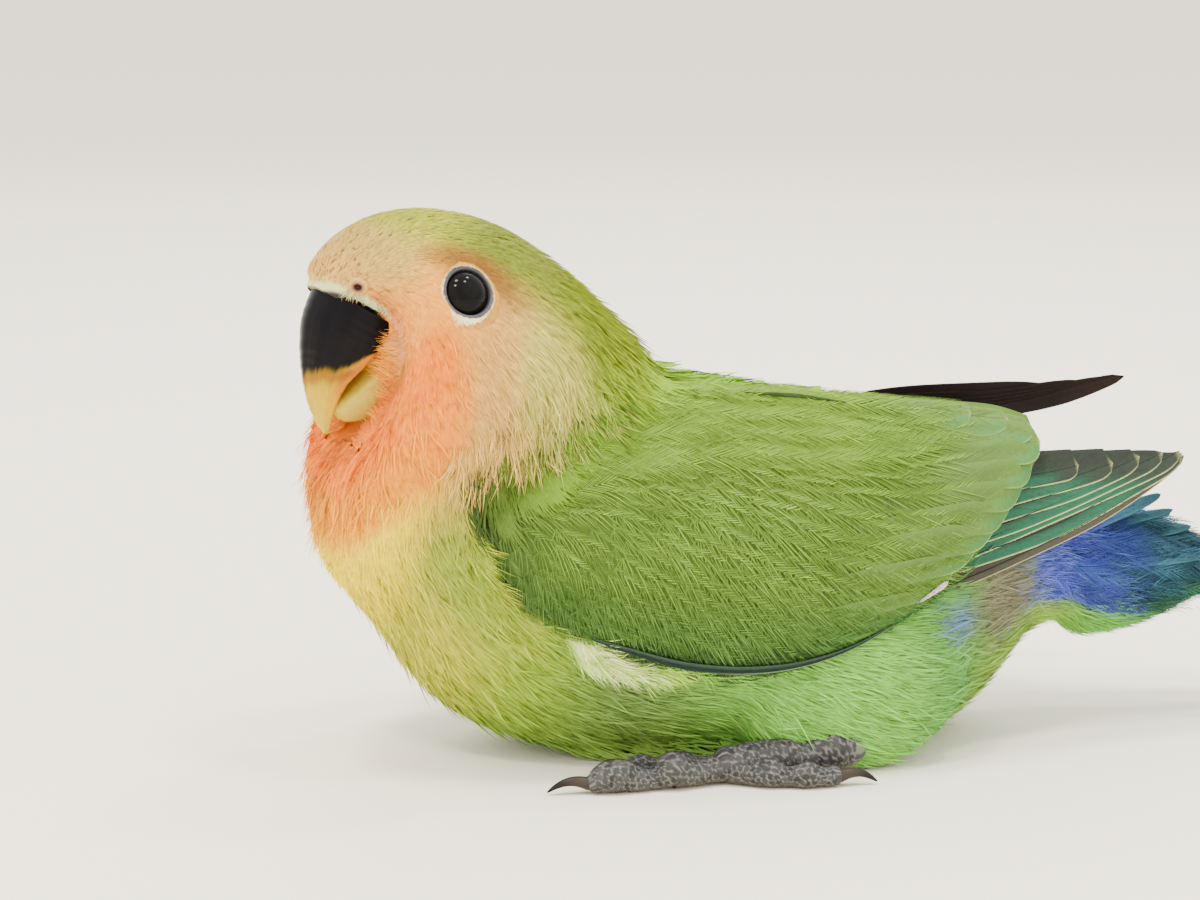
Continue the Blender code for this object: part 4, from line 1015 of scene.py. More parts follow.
# short feathers that start at the rim of each eye
bag = Bag()
u, v = body.scatter(lambda a, b: np.full(np.shape(a), 11.0), 184)
m = (u > 10.5) & (u < 14.5)
u, v = u[m], v[m]
d = eye_distance(body.read(body.pos, u, v))
m = (d > 3.72) & (d < 5.5)
u, v = u[m], v[m]
L = shorten_at_eyes(u, v, np.full(len(u), 1.5), flow)
m = L > .3
u, v, L = u[m], v[m], L[m]
tufts(bag, body, u, v, L, L * .42, 6, flow, .09, .05, lambda UU, VV, P: body_marking_and_shade(UU[:, -1], VV[:, -1]), 185, start=.02, stations=2, blade_width=1.1,
      rough=1.0, shade=(.92, 1.04), uvmap=body_uv, roll_by=.1, noise=.06)
print("rim feathers", len(u), bag.tris())
piece(bag, "coat_eye_rim", soft, "plumage_head")

# a pale tuft that comes out from under the wing
bag = Bag()
r = np.random.default_rng(195)
n = 190
along_w = r.uniform(0, 1, n) ** 1.5
u = 6.98 - 1.5 * along_w + r.normal(0, .04, n)
v = np.radians(103.6 + 4.6 * smoothstep(0, .4, along_w) - 2.4 * smoothstep(.45, 1, along_w) + r.normal(0, 1.5, n) * (1 - .6 * along_w))
v = np.where(np.arange(n) % 5 < 4, v, -v)
L = (6.0 - 3.0 * along_w) * r.normal(1, .2, n)
tufts(bag, body, u, v, L, 1.9, 7, lambda a, b: np.radians(np.interp(a, [5.4, 6.3, 7.0], [1.0, 8.0, 24.0])), 1.15, .1,
      lambda UU, VV, P: mix(np.broadcast_to(srgb(236, 234, 206), (len(UU), 3)), srgb(190, 206, 134), np.clip(r.uniform(-.2, 1, len(UU)) + .35 * smoothstep(6.4, 5.8, UU[:, 0]), 0, 1)),
      196, start=.04, stations=4, blade_width=.55, rough=2.0, curl=.9, shade=(.84, 1.1), uvmap=body_uv, roll_by=.5, noise=.10, taper=.3)
piece(bag, "coat_pale_tuft", soft, "plumage_body")

# ------------------------------------------------------------------ quills: flight feathers and large coverts
def resample(line, t):
    line = np.asarray(line, float)
    s = np.concatenate([[0], np.cumsum(np.linalg.norm(np.diff(line[:, :3], axis=0), axis=1))])
    s /= s[-1]
    n = len(line)
    if n < 3:
        return np.stack([np.interp(t, s, line[:, k]) for k in range(line.shape[1])], 1)
    # smooth curve through the points
    i = np.clip(np.searchsorted(s, t, side="right") - 1, 0, n - 2)
    h = (s[i + 1] - s[i])[:, None]
    f = (t - s[i])[:, None] / h
    m = np.gradient(line, s, axis=0)
    return (line[i] * (2 * f ** 3 - 3 * f ** 2 + 1) + m[i] * h * (f ** 3 - 2 * f ** 2 + f)
            + line[i + 1] * (3 * f ** 2 - 2 * f ** 3) + m[i + 1] * h * (f ** 3 - f ** 2))


def blunt(t, start=.72, power=2.2):
    """Width of a vane along its length: narrow where it starts, parallel, then rounding off to the tip."""
    t = np.asarray(t, float)
    tip = np.sqrt(np.clip(1 - np.clip((t - start) / (1 - start), 0, 1) ** power, 0, 1))
    return np.minimum(1, .35 + 5 * t) * tip


def quill(bag, axis, normal, low, high, colour, place, seed, camber=.10, lift=0.0, gap=.34, beta=27.0, shaft=.20,
          shaft_colour=(60, 52, 44), ridge=.04, stations=40, noise=.05, sink=0.0, under=1.0, stop=.88):
    """A firm feather. axis and normal run from root to tip; low and high give its width on the two sides of the
    shaft at t; colour(t, s) has s = +1 on the low edge and -1 on the high edge."""
    r = np.random.default_rng(seed)
    tt = np.linspace(0, 1, stations)
    both = resample(np.concatenate([axis, normal], 1), tt)
    A, N = both[:, :3], unit(both[:, 3:])
    D = unit(np.gradient(A, axis=0))
    down = unit(np.cross(D, N))
    down *= np.sign((down * np.array([0, 0, -1.0])).sum(-1).mean()) or 1.0
    length = np.linalg.norm(np.diff(A, axis=0), axis=1).sum()
    base = N * (lift - sink * (1 - tt) ** 2)[:, None]

    def at(t, s, raised):
        wl, wh = low(t), high(t)
        off = np.where(s > 0, s * wl, s * wh)
        k = np.clip(t, 0, 1) * (stations - 1)
        i = np.minimum(k.astype(int), stations - 2)
        f = (k - i)[..., None]
        g = lambda q: q[i] * (1 - f) + q[i + 1] * f
        n = g(N)
        return g(A + base) + g(down) * off[..., None] + n * (raised - camber * off ** 2 / 3.0)[..., None]

    # the vane itself, closed: a top and a bottom sheet
    half_s = np.array([0, .22, .45, .68, .86, .945, 1.0])
    s = np.concatenate([-half_s[:0:-1], half_s])
    across = len(half_s) - 1
    T, Sx = np.meshgrid(tt, s, indexing="ij")

    def paint(t, s):
        w = np.where(s > 0, low(t), high(t))
        return colour(t, s, np.minimum((1 - np.abs(s)) * w, (1 - t) * length * .8))

    top, bottom = at(T, Sx, 0 * T), at(T, Sx, 0 * T - .16)
    cols = paint(T, Sx) * .92
    ring = np.concatenate([top, bottom[:, ::-1]], 1)
    rc = np.concatenate([cols, cols[:, ::-1] * under], 1)
    nv = ring.shape[1]
    key = np.stack([np.broadcast_to(np.concatenate([(s + 1) / 2, (s[::-1] + 1) / 2]), ring.shape[:2]), np.broadcast_to(tt[:, None], ring.shape[:2])], -1)
    uv = patch_uv(np.full(ring.shape[:2], place[0]), np.full(ring.shape[:2], place[1]), key)
    start = bag.n
    bag.add(ring.reshape(-1, 3), None, grid_faces(stations, nv, True), rc.reshape(-1, 3), uv.reshape(-1, 2))
    m = 2 * across + 1
    for row in (0, stations - 1):
        i = np.arange(m - 1)
        q = np.stack([start + row * nv + i, start + row * nv + i + 1, start + row * nv + nv - 2 - i, start + row * nv + nv - 1 - i], 1)
        bag.f4.append(q if row else q[:, ::-1])
    # barbs, as fine raised strips that leave the shaft at an angle
    M = int(length / gap)
    t1 = (np.arange(M) + .5) / M
    b = np.radians(beta)
    for sgn in (-1.0, 1.0):
        w = (low(t1) if sgn > 0 else high(t1)) * stop
        t0 = np.clip(t1 - w / np.tan(b) / length, 0, 1)
        q = np.array([.03, .5, 1.0])
        tq = t0[:, None] + (t1 - t0)[:, None] * q[None] ** .9
        sq = np.broadcast_to(sgn * q[None] * stop, tq.shape)
        c = at(tq, sq, np.full(tq.shape, ridge) + r.normal(0, ridge * .35, (M, 1)))
        run = np.gradient(c, axis=1)
        n = N[np.minimum((np.clip(tq, 0, 1) * (stations - 1)).astype(int), stations - 1)]
        side = unit(np.cross(n, run))
        half = gap * np.sin(b) * .40
        roll = (sgn * .22 + r.normal(0, .10, M))[:, None, None]
        ax = (side * np.cos(roll) + n * np.sin(roll)) * half
        lft, rgt = c - ax, c + ax
        verts = np.stack([lft[:, 0], rgt[:, 0], lft[:, 1], rgt[:, 1], c[:, 2]], 1)
        cc = paint(tq, sq * .92) * (1 + r.normal(0, noise, (M, 1)))[..., None]
        cc = np.stack([cc[:, 0], cc[:, 0], cc[:, 1], cc[:, 1], cc[:, 2]], 1)
        bs = (np.arange(M) * 5)[:, None]
        key = np.stack([np.broadcast_to(.5 + .5 * sgn * np.array([0, 0, .5, .5, 1.0]), (M, 5)), np.broadcast_to(t1[:, None], (M, 5))], -1)
        uv = patch_uv(np.full((M, 5), place[0]), np.full((M, 5), place[1]), key)
        bag.add(verts.reshape(-1, 3), bs + np.array([[2, 3, 4]]), bs + np.array([[0, 1, 3, 2]]), cc.reshape(-1, 3), uv.reshape(-1, 2))
    # shaft
    if shaft > 0:
        ang = np.linspace(0, 2 * pi, 6, endpoint=False)
        tr = np.linspace(0, .985, 30)
        k = tr * (stations - 1)
        i = np.minimum(k.astype(int), stations - 2)
        f = (k - i)[:, None]
        g = lambda q: q[i] * (1 - f) + q[i + 1] * f
        a, n, d = g(A + base), g(N), g(down)
        rad = (shaft * (1 - .8 * tr))[:, None, None]
        v = a[:, None] + rad * (d[:, None] * np.cos(ang)[None, :, None] + .8 * n[:, None] * np.sin(ang)[None, :, None]) + n[:, None] * ridge
        bag.add(v.reshape(-1, 3), None, grid_faces(30, 6, True), srgb(*shaft_colour), uv=np.array(place))


def column(x):
    """z of the left wing's outer surface against its parameter a, at x."""
    i = np.clip((x - WX[0]) / _hx, 0, len(WX) - 1.001)
    k = int(i)
    f = i - k
    return _g[k, :, 2] * (1 - f) + _g[k + 1, :, 2] * f


def wing_at(x, z):
    """Parameter a of the place on the left wing at (x, z)."""
    x, z = np.broadcast_arrays(np.asarray(x, float), np.asarray(z, float))
    out = np.empty(x.shape)
    for k in np.ndindex(x.shape):
        out[k] = np.interp(-z[k], -column(x[k]), np.linspace(0, 1, 120))
    return out


def wing_line(side, points):
    """Axis and normals on a wing's surface for (x, z) points given in the left wing's frame."""
    pts = resample(np.array(points, float), np.linspace(0, 1, 24))
    x = np.clip(pts[:, 0], WX[0] + .4, WX[-1] - .2)
    a = np.clip(wing_at(x, pts[:, 1]), 0, 1)
    S = WINGS[side]
    axis, n = S.read(S.pos, -x, a), unit(S.read(S.n, -x, a))
    # past the surface's rear end the line goes on straight
    extra = pts[:, 0] - x
    shift = np.zeros_like(axis)
    d = unit(axis[-6] - axis[-9]) if extra.max() > 0 else np.array([1.0, 0, 0])
    shift += d * extra[:, None] * 1.0
    return axis + shift, n, (np.clip(x.mean() / -1, S.u0, S.u1), a.mean())


# ------------------------------------------------------------------ wing coverts
def drape(side):
    """Folds what stands above a wing's upper edge down onto the back."""
    def fix(p):
        q = wing_unplace(p, side)
        over = np.maximum(q[..., 2] - np.interp(q[..., 0], WX, WING_TOP) - .15, 0)
        q[..., 2] -= 1.45 * over
        q[..., 1] += .9 * over
        return wing_place(q, side)
    return fix


def covert_flow(uu, vv):
    x = -uu
    return np.radians(6 + 26 * smoothstep(.08, .5, vv) * (1 - .35 * smoothstep(-25, 5, x)) + 9 * smoothstep(-30, -44, x) + 4 * smoothstep(.8, 1, vv) * smoothstep(-5, 10, x))


for side in ("left", "right"):
    S = WINGS[side]
    r = np.random.default_rng(200 if side == "left" else 201)
    bag = Bag()
    # rows from the rear to the front, in x; the front ones lie over the rear ones
    rows_x = np.arange(13.0, -47.2, -1.9)
    for k, x in enumerate(rows_x):
        t = smoothstep(-45, 10, x)
        gap, L, W = 2.3 + 1.2 * t, 4.8 + 3.6 * t, 3.6 + 2.0 * t
        line = wing_grid(np.full(60, x), np.linspace(0, 1, 60))
        arc = np.linalg.norm(np.diff(line, axis=0), axis=1).sum()
        n = max(2, int(arc / gap))
        a = (np.arange(n) + (.5 if k % 2 else 0) + .25) / n
        a = a + r.normal(0, .14 / n, n)
        u = -(x + r.normal(0, .45, n))
        keep = (a < 1.0) & (u > S.u0) & (u < S.u1)
        a, u = a[keep], u[keep]
        barbs = 11 if x < -10 else 15
        vanes(bag, S, u, a, L * r.normal(1, .10, len(u)), W * r.normal(1, .08, len(u)), barbs, covert_flow, .30 + .26 * smoothstep(0, 12, x),
              lambda UU, VV, P: wing_marking_and_shade(-UU[:, -1], VV[:, -1]), 300 + k, uvmap=wing_uv, shade=(.60, 1.12), noise=.15, beta=29, cover=.60, lean=.6)
    print("wing", side, bag.tris())
    piece(bag, "coverts_" + side, firm, "plumage_wing")

    # secondaries and tertials: smooth, green, with fine pale rims at their ends, each lying over the one below it
    bag = Bag()
    TIPS = [(12.6, 23.0), (16.6, 27.2), (20.2, 30.8), (23.4, 33.4), (26.0, 35.6), (27.8, 38.2), (29.4, 40.8), (30.9, 43.2),
            (30.2, 45.0), (27.0, 46.0), (22.0, 46.8)]
    for k, (tx, tz) in enumerate(TIPS):
        up = k / (len(TIPS) - 1)
        L = 25 - 3 * up
        slope = .20 - .28 * up                    # rises to the rear below, falls above
        mid = (tx - L * .5, tz - slope * L * .5 + .5)
        root = (tx - L, tz - slope * L * 1.0)
        axis, n, place = wing_line(side, [root, mid, (tx, tz)])
        wide = 3.1 + .7 * up
        pts = resample(np.array([root, mid, (tx, tz)], float), np.linspace(0, 1, 24))
        room = np.maximum(np.interp(pts[:, 0], WX, WING_TOP) - pts[:, 1] + .1, .25)

        def colour(t, s, e, up=up):
            c = mix(np.broadcast_to(srgb(128, 150, 92), t.shape + (3,)), srgb(138, 154, 98), np.full(t.shape, up))
            c = mix(c, srgb(110, 154, 106), smoothstep(-.2, .7, s) * smoothstep(.66, .94, t) * (.9 - .4 * up))
            return mix(c, srgb(206, 212, 172), smoothstep(.20, .08, e) * smoothstep(.66, .88, t) * smoothstep(-.6, .1, s) * (.85 - .65 * up))

        lift = .04 + .028 * k
        quill(bag, axis, n, lambda t, w=wide: w * blunt(t, .78), lambda t, w=wide, q=room: np.minimum(w * 1.1 * blunt(t, .78), np.interp(t, np.linspace(0, 1, 24), q)),
              colour, wing_uv(np.float64(place[0]), np.float64(place[1])), 400 + k, lift=lift, shaft=.07, shaft_colour=(124, 146, 78),
              gap=.34, beta=26, camber=.05, sink=lift + .9, noise=.07)
    piece(bag, "secondaries_" + side, firm, "plumage_wing")

    # the dark outer edge that shows below the coverts: its dark green-grey is painted shade under the wing's lower
    # edge; its pale rim is the feather's own
    bag = Bag()
    edge_line = [(-33.0, 20.6), (-28.0, 19.0), (-21.0, 16.9), (-13.0, 15.9), (-5.0, 16.3), (1.5, 17.9), (8.0, 20.8)]
    axis, n, place = wing_line(side, edge_line)

    def slim(t):
        return np.clip(np.sin(pi * np.clip(t, 0, 1) ** .85), .02, 1) ** .6

    def edge_colour(t, s, e):
        c = mix(np.broadcast_to(srgb(58, 74, 68), t.shape + (3,)), srgb(92, 112, 96), smoothstep(.2, -.9, s))
        return mix(c, srgb(176, 190, 160), smoothstep(.22, .08, e) * smoothstep(.0, .3, s) * smoothstep(.30, .55, t) * .8)
    quill(bag, axis, n, lambda t: .95 * slim(t), lambda t: .55 * slim(t), edge_colour, wing_uv(np.float64(place[0]), np.float64(place[1])), 480,
          lift=.52, shaft=.06, shaft_colour=(60, 70, 64), gap=.30, beta=16, camber=.12, ridge=.015, noise=.05, stop=.8)
    piece(bag, "wing_edge_" + side, firm, "plumage_wing")

    # scapulars: longer soft feathers along the wing's upper edge
    bag = Bag()
    for k, x in enumerate(np.arange(12, -41, -3.4)):
        a = np.array([.025, .10, .18]) + r.normal(0, .015, 3) + (.03 if k % 2 else 0)
        u = -(x + r.normal(0, .8, 3))
        m = u > S.u0
        vanes(bag, S, u[m], a[m], r.normal(10, .8, m.sum()), r.normal(5.2, .4, m.sum()), 30, lambda uu, vv: np.radians(np.full(np.shape(uu), 5.0)),
              .55, lambda UU, VV, P: wing_marking_and_shade(-UU[:, -1], VV[:, -1]) * 1.02, 520 + k, uvmap=wing_uv, shade=(.66, 1.05), noise=.09, beta=28, cover=.72, fix=drape(side))
    # deep shadow where two of them part
    for k, (line, w) in enumerate([([(-10.0, 50.4), (-3.0, 49.8), (4.5, 48.6)], .34)]):
        axis, n, place = wing_line(side, line)
        quill(bag, axis, n, lambda t, w=w: w * np.clip(np.sin(pi * t), .03, 1), lambda t, w=w: w * .6 * np.clip(np.sin(pi * t), .03, 1),
              lambda t, s, e: np.broadcast_to(srgb(78, 98, 46), t.shape + (3,)), wing_uv(np.float64(place[0]), np.float64(place[1])), 560 + k,
              lift=.42, shaft=0, gap=.3, beta=14, camber=.3, ridge=.015, noise=.2)
    piece(bag, "coverts_scapulars_" + side, firm, "plumage_wing")

# ------------------------------------------------------------------ primaries
# left plate, as x, top y, z, bottom y, z with y outward
PRIMARIES = np.array([
    (14.0, 17.0, 36.0, 18.6, 23.2), (22.0, 14.2, 40.6, 17.2, 24.9), (31.0, 12.2, 41.8, 15.6, 27.7), (40.0, 11.0, 41.8, 13.9, 32.1),
    (47.5, 10.4, 41.4, 12.2, 36.6), (52.0, 10.2, 40.7, 10.9, 39.2), (53.4, 10.3, 40.2, 10.5, 39.8)])
PRIMARIES_RIGHT = np.array([
    (8.0, 6.4, 45.9, 12.0, 41.0), (16.0, 6.4, 47.6, 13.4, 40.0), (26.0, 7.0, 48.6, 14.0, 40.2), (36.0, 7.5, 48.6, 12.6, 42.0),
    (43.0, 8.0, 48.6, 11.0, 43.4), (48.5, 8.3, 48.8, 9.8, 46.4), (51.8, 8.6, 48.7, 9.0, 48.1)])
# (x, z) of the pale leading edges of the left wing's primaries, innermost first, root to tip
EDGES = [
    [(16.0, 34.2), (27.9, 36.6), (33.2, 37.5), (37.2, 38.9)],
    [(15.0, 31.6), (27.0, 34.6), (37.9, 37.0), (42.5, 39.0)],
    [(14.0, 29.4), (22.1, 31.7), (36.2, 35.2), (46.6, 39.7)],
    [(13.0, 27.4), (17.7, 28.7), (29.7, 31.6), (45.8, 37.6), (50.3, 40.1)],
    [(12.0, 25.4), (18.0, 27.1), (33.6, 32.1), (49.8, 38.1), (53.0, 40.2)],
    [(11.0, 24.0), (16.8, 25.6), (33.5, 29.9), (47.7, 36.5), (53.3, 39.9)],
    [(10.0, 22.4), (16.8, 23.6), (29.4, 27.5), (39.4, 31.6), (53.5, 39.8)]]


def plate_line(table, points, sign):
    pts = resample(np.array(points, float), np.linspace(0, 1, 30))
    x = np.clip(pts[:, 0], table[0, 0] - 8, table[-1, 0])
    row = np.stack([np.interp(x, table[:, 0], table[:, k]) for k in range(5)], 1)
    b = (row[:, 2] - pts[:, 1]) / (row[:, 2] - row[:, 4])
    y = row[:, 1] + (row[:, 3] - row[:, 1]) * b
    axis = np.stack([pts[:, 0], sign * (y + .2), pts[:, 1]], 1)
    fall = np.stack([np.zeros(30), sign * (row[:, 3] - row[:, 1]), row[:, 4] - row[:, 2]], 1)
    n = unit(np.cross(np.gradient(axis, axis=0), fall))
    n *= np.sign(n[:, 1:2]) * sign
    return axis, n


def primary_colour(t, s, e, inner=(70, 76, 66), outer=(82, 130, 106), rim=(226, 224, 190), tip=(82, 88, 78), thin=(.13, .04)):
    c = np.broadcast_to(srgb(*inner), t.shape + (3,))
    c = mix(c, srgb(*outer), smoothstep(-.20, .30, s) * (1 - .85 * smoothstep(.72, .95, t)))
    c = mix(c, srgb(*tip), smoothstep(.76, .95, t) * .7 * smoothstep(-.3, .3, s))
    edge = smoothstep(*thin, e) * np.maximum(smoothstep(.0, .2, s), smoothstep(.93, .97, t) * smoothstep(-.9, -.1, s))
    return mix(c, srgb(*rim), edge * (1 - .6 * smoothstep(.90, 1, t)))


bag = Bag()
ridge_x, ridge_z = PRIMARIES[:, 0], PRIMARIES[:, 2]
for k, edge in enumerate(EDGES):
    edge = np.array(edge)
    d = np.gradient(edge, axis=0)
    d /= np.linalg.norm(d, axis=1)[:, None]
    web = np.full(len(edge), 1.75)
    web[-1] = .55
    if len(edge) > 3:
        web[-2] = 1.35
    if k == 6:
        web *= .55
    line = edge + np.stack([-d[:, 1], d[:, 0]], 1) * web[:, None]
    axis, n = plate_line(PRIMARIES, line, -1.0)
    w = 1.75 if k < 6 else 1.0
    args = dict() if k < 6 else dict(inner=(92, 88, 76), outer=(106, 102, 88), rim=(188, 182, 160))
    fine = resample(axis, np.linspace(0, 1, 60))
    room = np.clip(np.interp(fine[:, 0], ridge_x, ridge_z) - fine[:, 2] - .05 * k, .15, 5.0)

    def high(t, room=room):
        return np.minimum(np.interp(t, np.linspace(0, 1, 60), room), 4.2 * blunt(t, .86, 2.0))
    quill(bag, axis, n, lambda t, w=w: w * blunt(t, .90, 2.0), high,
          lambda t, s, e, a=args: primary_colour(t, s, e, **a), (.02, .05 + .1 * k), 600 + k, lift=.10 + .075 * (6 - k), shaft=.11,
          shaft_colour=(56, 54, 46), gap=.30, beta=20, camber=.04, ridge=.02, noise=.04)
piece(bag, "primaries_feathers_left", firm, "flight")

# a small loose pale feather at the root of the lowest one
bag = Bag()
line = resample(np.array([(11.1, -23.6, 23.5), (13.3, -23.1, 24.7), (15.6, -22.4, 26.0)]), np.linspace(0, 1, 12))
quill(bag, line, np.broadcast_to(unit(np.array([.1, -1.0, .15])), line.shape), lambda t: .40 * np.clip(.2 + t, 0, 1) * blunt(t, .8), lambda t: .34 * np.clip(.2 + t, 0, 1) * blunt(t, .8),
      lambda t, s, e: mix(np.broadcast_to(srgb(214, 208, 206), t.shape + (3,)), srgb(168, 160, 160), (np.sin(t * 31 + s * 7) > .45) * .8), (.5, .95), 690,
      shaft=.05, shaft_colour=(150, 140, 136), gap=.22, beta=22, camber=.2, ridge=.03, noise=.1)
piece(bag, "loose_feather", soft, "flight")

bag = Bag()
far = [[(8, 46.2), (18, 46.9), (27, 46.9), (40.0, 46.9)], [(10, 45.4), (20, 45.7), (30, 45.6), (45.5, 47.5)], [(10, 43.8), (28, 44.6), (40, 46.0), (49.0, 48.1)],
       [(10, 43.2), (28, 43.9), (42, 46.0), (51.0, 48.5)], [(10, 42.6), (26, 43.2), (42, 45.5), (51.6, 48.5)], [(10, 42.0), (24, 42.4), (38, 44.2), (51.4, 48.3)]]
for k, line in enumerate(far):
    axis, n = plate_line(PRIMARIES_RIGHT, line, 1.0)
    quill(bag, axis, n, lambda t: 1.25 * blunt(t, .80, 2.0), lambda t: 1.5 * blunt(t, .76, 2.0),
          lambda t, s, e: primary_colour(t, s, e, inner=(82, 74, 62), outer=(88, 90, 74), rim=(132, 124, 104), tip=(86, 76, 62)),
          (.06, .05 + .1 * k), 620 + k, lift=.05 + .075 * (5 - k), shaft=.12, shaft_colour=(40, 36, 32), gap=.30, beta=20, camber=.04,
          ridge=.02, under=np.array([.55, .40, .42]))
piece(bag, "primaries_feathers_right", firm, "flight")
for nm, side in (("primaries_feathers_left", "left"), ("primaries_feathers_right", "right")):
    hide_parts("primaries_" + side)

# ------------------------------------------------------------------ tail
TAIL_COVERTS = np.array([
    (36.9, 31.4, 37.2, 15.4, 9.0, .5, 2.2), (42.0, 31.4, 41.5, 13.0, 9.4, .5, 2.2), (48.0, 30.6, 47.0, 13.4, 9.2, .5, 2.2),
    (54.0, 28.6, 52.5, 15.2, 8.5, .5, 2.2), (59.5, 26.0, 58.0, 18.0, 7.4, .5, 2.1), (63.0, 23.6, 62.4, 20.2, 5.6, .5, 2.0)])
REAR = np.concatenate([TAIL_COVERTS[::-1], BODY[1:5]])       # tip first, so that u falls towards the tip
_tu, _tv = np.linspace(0, 8.4, 150), np.linspace(-pi, pi, 181)
_TU, _TV = np.meshgrid(_tu, _tv, indexing="ij")
_tp = section(REAR, _TU, _TV)
rear = Surface(_tp, _tu, _tv, wrap=True)
rear.orient(_tp - _tp[:, :-1].mean(1)[:, None])


def rear_colour(UU, VV, P):
    """Blue rump and upper coverts, grey-beige down beside the thigh, yellow-green below, teal towards the tail."""
    deg = degrees_from_back(VV[:, -1])
    x = P[:, -1, 0]
    r = np.random.default_rng(len(x))
    j = r.normal(0, 1, len(x))
    c = mix(np.broadcast_to(srgb(92, 116, 182), deg.shape + (3,)), srgb(148, 166, 202), np.clip(.5 + .4 * j, 0, 1))
    c = mix(c, mix(np.broadcast_to(srgb(46, 86, 84), deg.shape + (3,)), srgb(112, 158, 170), np.clip(.25 + .5 * j, 0, 1)), smoothstep(45, 51, x + 3 * j) * .85)
    low = smoothstep(106, 124, deg + 5 * j)
    green = mix(np.broadcast_to(srgb(176, 188, 122), deg.shape + (3,)), srgb(162, 194, 132), smoothstep(34, 46, x))
    c = mix(c, mix(green, srgb(84, 128, 92), smoothstep(46, 56, x)), low)
    down = mix(np.broadcast_to(srgb(134, 130, 110), deg.shape + (3,)), srgb(162, 156, 136), np.clip(.5 + .4 * j, 0, 1))
    c = mix(c, down, smoothstep(46, 66, deg) * (1 - smoothstep(106, 122, deg + 3 * j)) * (1 - smoothstep(29.5, 34, x + 1.2 * j)))
    return mix(c, srgb(156, 172, 108), smoothstep(112, 128, deg) * (1 - smoothstep(32, 38, x)))


def rear_tips(UU, VV, P):
    x, deg = P[:, -1, 0], degrees_from_back(VV[:, -1])
    c = rear_colour(UU, VV, P)
    r = np.random.default_rng(len(x) + 1)
    return mix(c, srgb(40, 84, 84), smoothstep(36, 50, x + 3 * r.normal(0, 1, len(x))) * (1 - smoothstep(95, 125, deg)) * .8)


def rear_uv(u, v):
    return .01 + .98 * u / 8.4, .01 + .98 * np.mod(v + pi, 2 * pi) / (2 * pi)


def rear_flow(u, v):
    return np.zeros(u.shape)


bag = Bag()
u, v = rear.scatter(lambda a, b: np.full(np.shape(a), 1.1), 700)
keep = (u > .4) & (u < 7.6)
for side, sign in (("left", -1.0), ("right", 1.0)):
    p = rear.read(rear.pos, u, v)
    q = wing_unplace(p, side)
    keep &= ~((sign * p[:, 1] > 4) & (wing_margin(q[:, 0], q[:, 2]) > 1.5))
u, v = u[keep], v[keep]
r = np.random.default_rng(701)
L = 7.5 * r.normal(1, .18, len(u))
tufts(bag, rear, u, v, L, 2.6, 11, rear_flow, .5, 1.3, rear_colour, 702, stations=3, fix=above_floor,
      uvmap=rear_uv, rough=1.9, curl=.6, shade=(.62, 1.12), start=.15, noise=.10, roll_by=.4, blade_width=.9)
piece(bag, "coat_rear_coverts", soft, "plumage_tail")


def plume_tone(UU, VV, P):
    r = np.random.default_rng(len(UU) + 5)
    blue = (1 - smoothstep(100, 120, degrees_from_back(VV[:, -1]))) * (1 - smoothstep(50, 56, P[:, -1, 0]))
    return mix(rear_colour(UU, VV, P), srgb(88, 112, 196), .5 * blue) * np.exp(r.normal(.04, .36, len(UU)))[:, None]


# long loose plumes over and beside the tail
bag = Bag()
r = np.random.default_rng(710)
n = 150
u = r.uniform(2.4, 6.0, n)
v = np.radians(r.uniform(0, 112, n)) * np.where(r.uniform(0, 1, n) < .6, 1, -1)
turn = np.radians(r.normal(0, 9, n))
P = rear.read(rear.pos, u, v)
L = np.clip(r.normal(12.5, 2.0, n), 7, 66 - P[:, 0])
for k in range(3):
    m = np.arange(n) % 3 == k
    vanes(bag, rear, u[m], v[m], L[m], r.uniform(2.6, 3.9, m.sum()), 34, lambda a, b, k=k: np.radians(np.full(np.shape(a), (-8.0, 3.0, 12.0)[k])),
          .9 + .7 * k, plume_tone, 711 + k, uvmap=rear_uv, beta=25, shade=(.7, 1.1), noise=.10, cover=.62, tip_round=.35, loose=.22,
          tips=rear_tips, lift_from=1.7, fix=above_floor)
piece(bag, "coat_tail_plumes", soft, "plumage_tail")

# a few teal-tipped feathers that stand clear above the tail
bag = Bag()
for k, (line, w) in enumerate([
        ([(36, -5.5, 27.0), (43, -6.3, 30.4), (51.5, -7.0, 34.0)], 1.5), ([(37, -4.6, 26.4), (45, -5.2, 29.6), (54, -5.6, 31.4)], 1.2),
        ([(39, -4.2, 25.4), (47, -4.9, 27.6), (57, -5.2, 28.8)], 1.5), ([(38, 3.5, 27.4), (45, 4.2, 30.6), (53, 4.6, 33.0)], 1.4),
        ([(40, 4.2, 25.4), (48, 4.8, 27.8), (58, 5.2, 28.6)], 1.4), ([(40, -7.2, 23.0), (48, -8.2, 24.6), (57, -8.8, 25.0)], 1.3)]):
    axis = resample(np.array(line, float), np.linspace(0, 1, 16))
    d = unit(np.gradient(axis, axis=0))
    n = unit(np.cross(np.cross(d, np.array([0, -.35, 1.0])), d))
    n *= np.sign(n[:, 2:3])

    def plume_colour(t, s, e):
        c = mix(np.broadcast_to(srgb(104, 128, 188), t.shape + (3,)), srgb(96, 140, 150), smoothstep(.3, .7, t))
        return mix(c, srgb(58, 96, 104), smoothstep(.7, .98, t) * .8)
    quill(bag, axis, n, lambda t, w=w: w * blunt(t, .6), lambda t, w=w: w * blunt(t, .6), plume_colour, (.9, .05 + .1 * k), 730 + k,
          shaft=.07, shaft_colour=(70, 90, 110), gap=.3, beta=24, camber=.12, noise=.1)
piece(bag, "tail_plumes_clear", soft, "plumage_tail")

TAIL_FAN = np.array([(50.0, 6.2), (56.0, 7.6), (62.0, 8.8), (66.5, 9.3), (70.0, 8.7), (72.6, 7.2), (74.4, 5.0), (75.4, 2.2)])


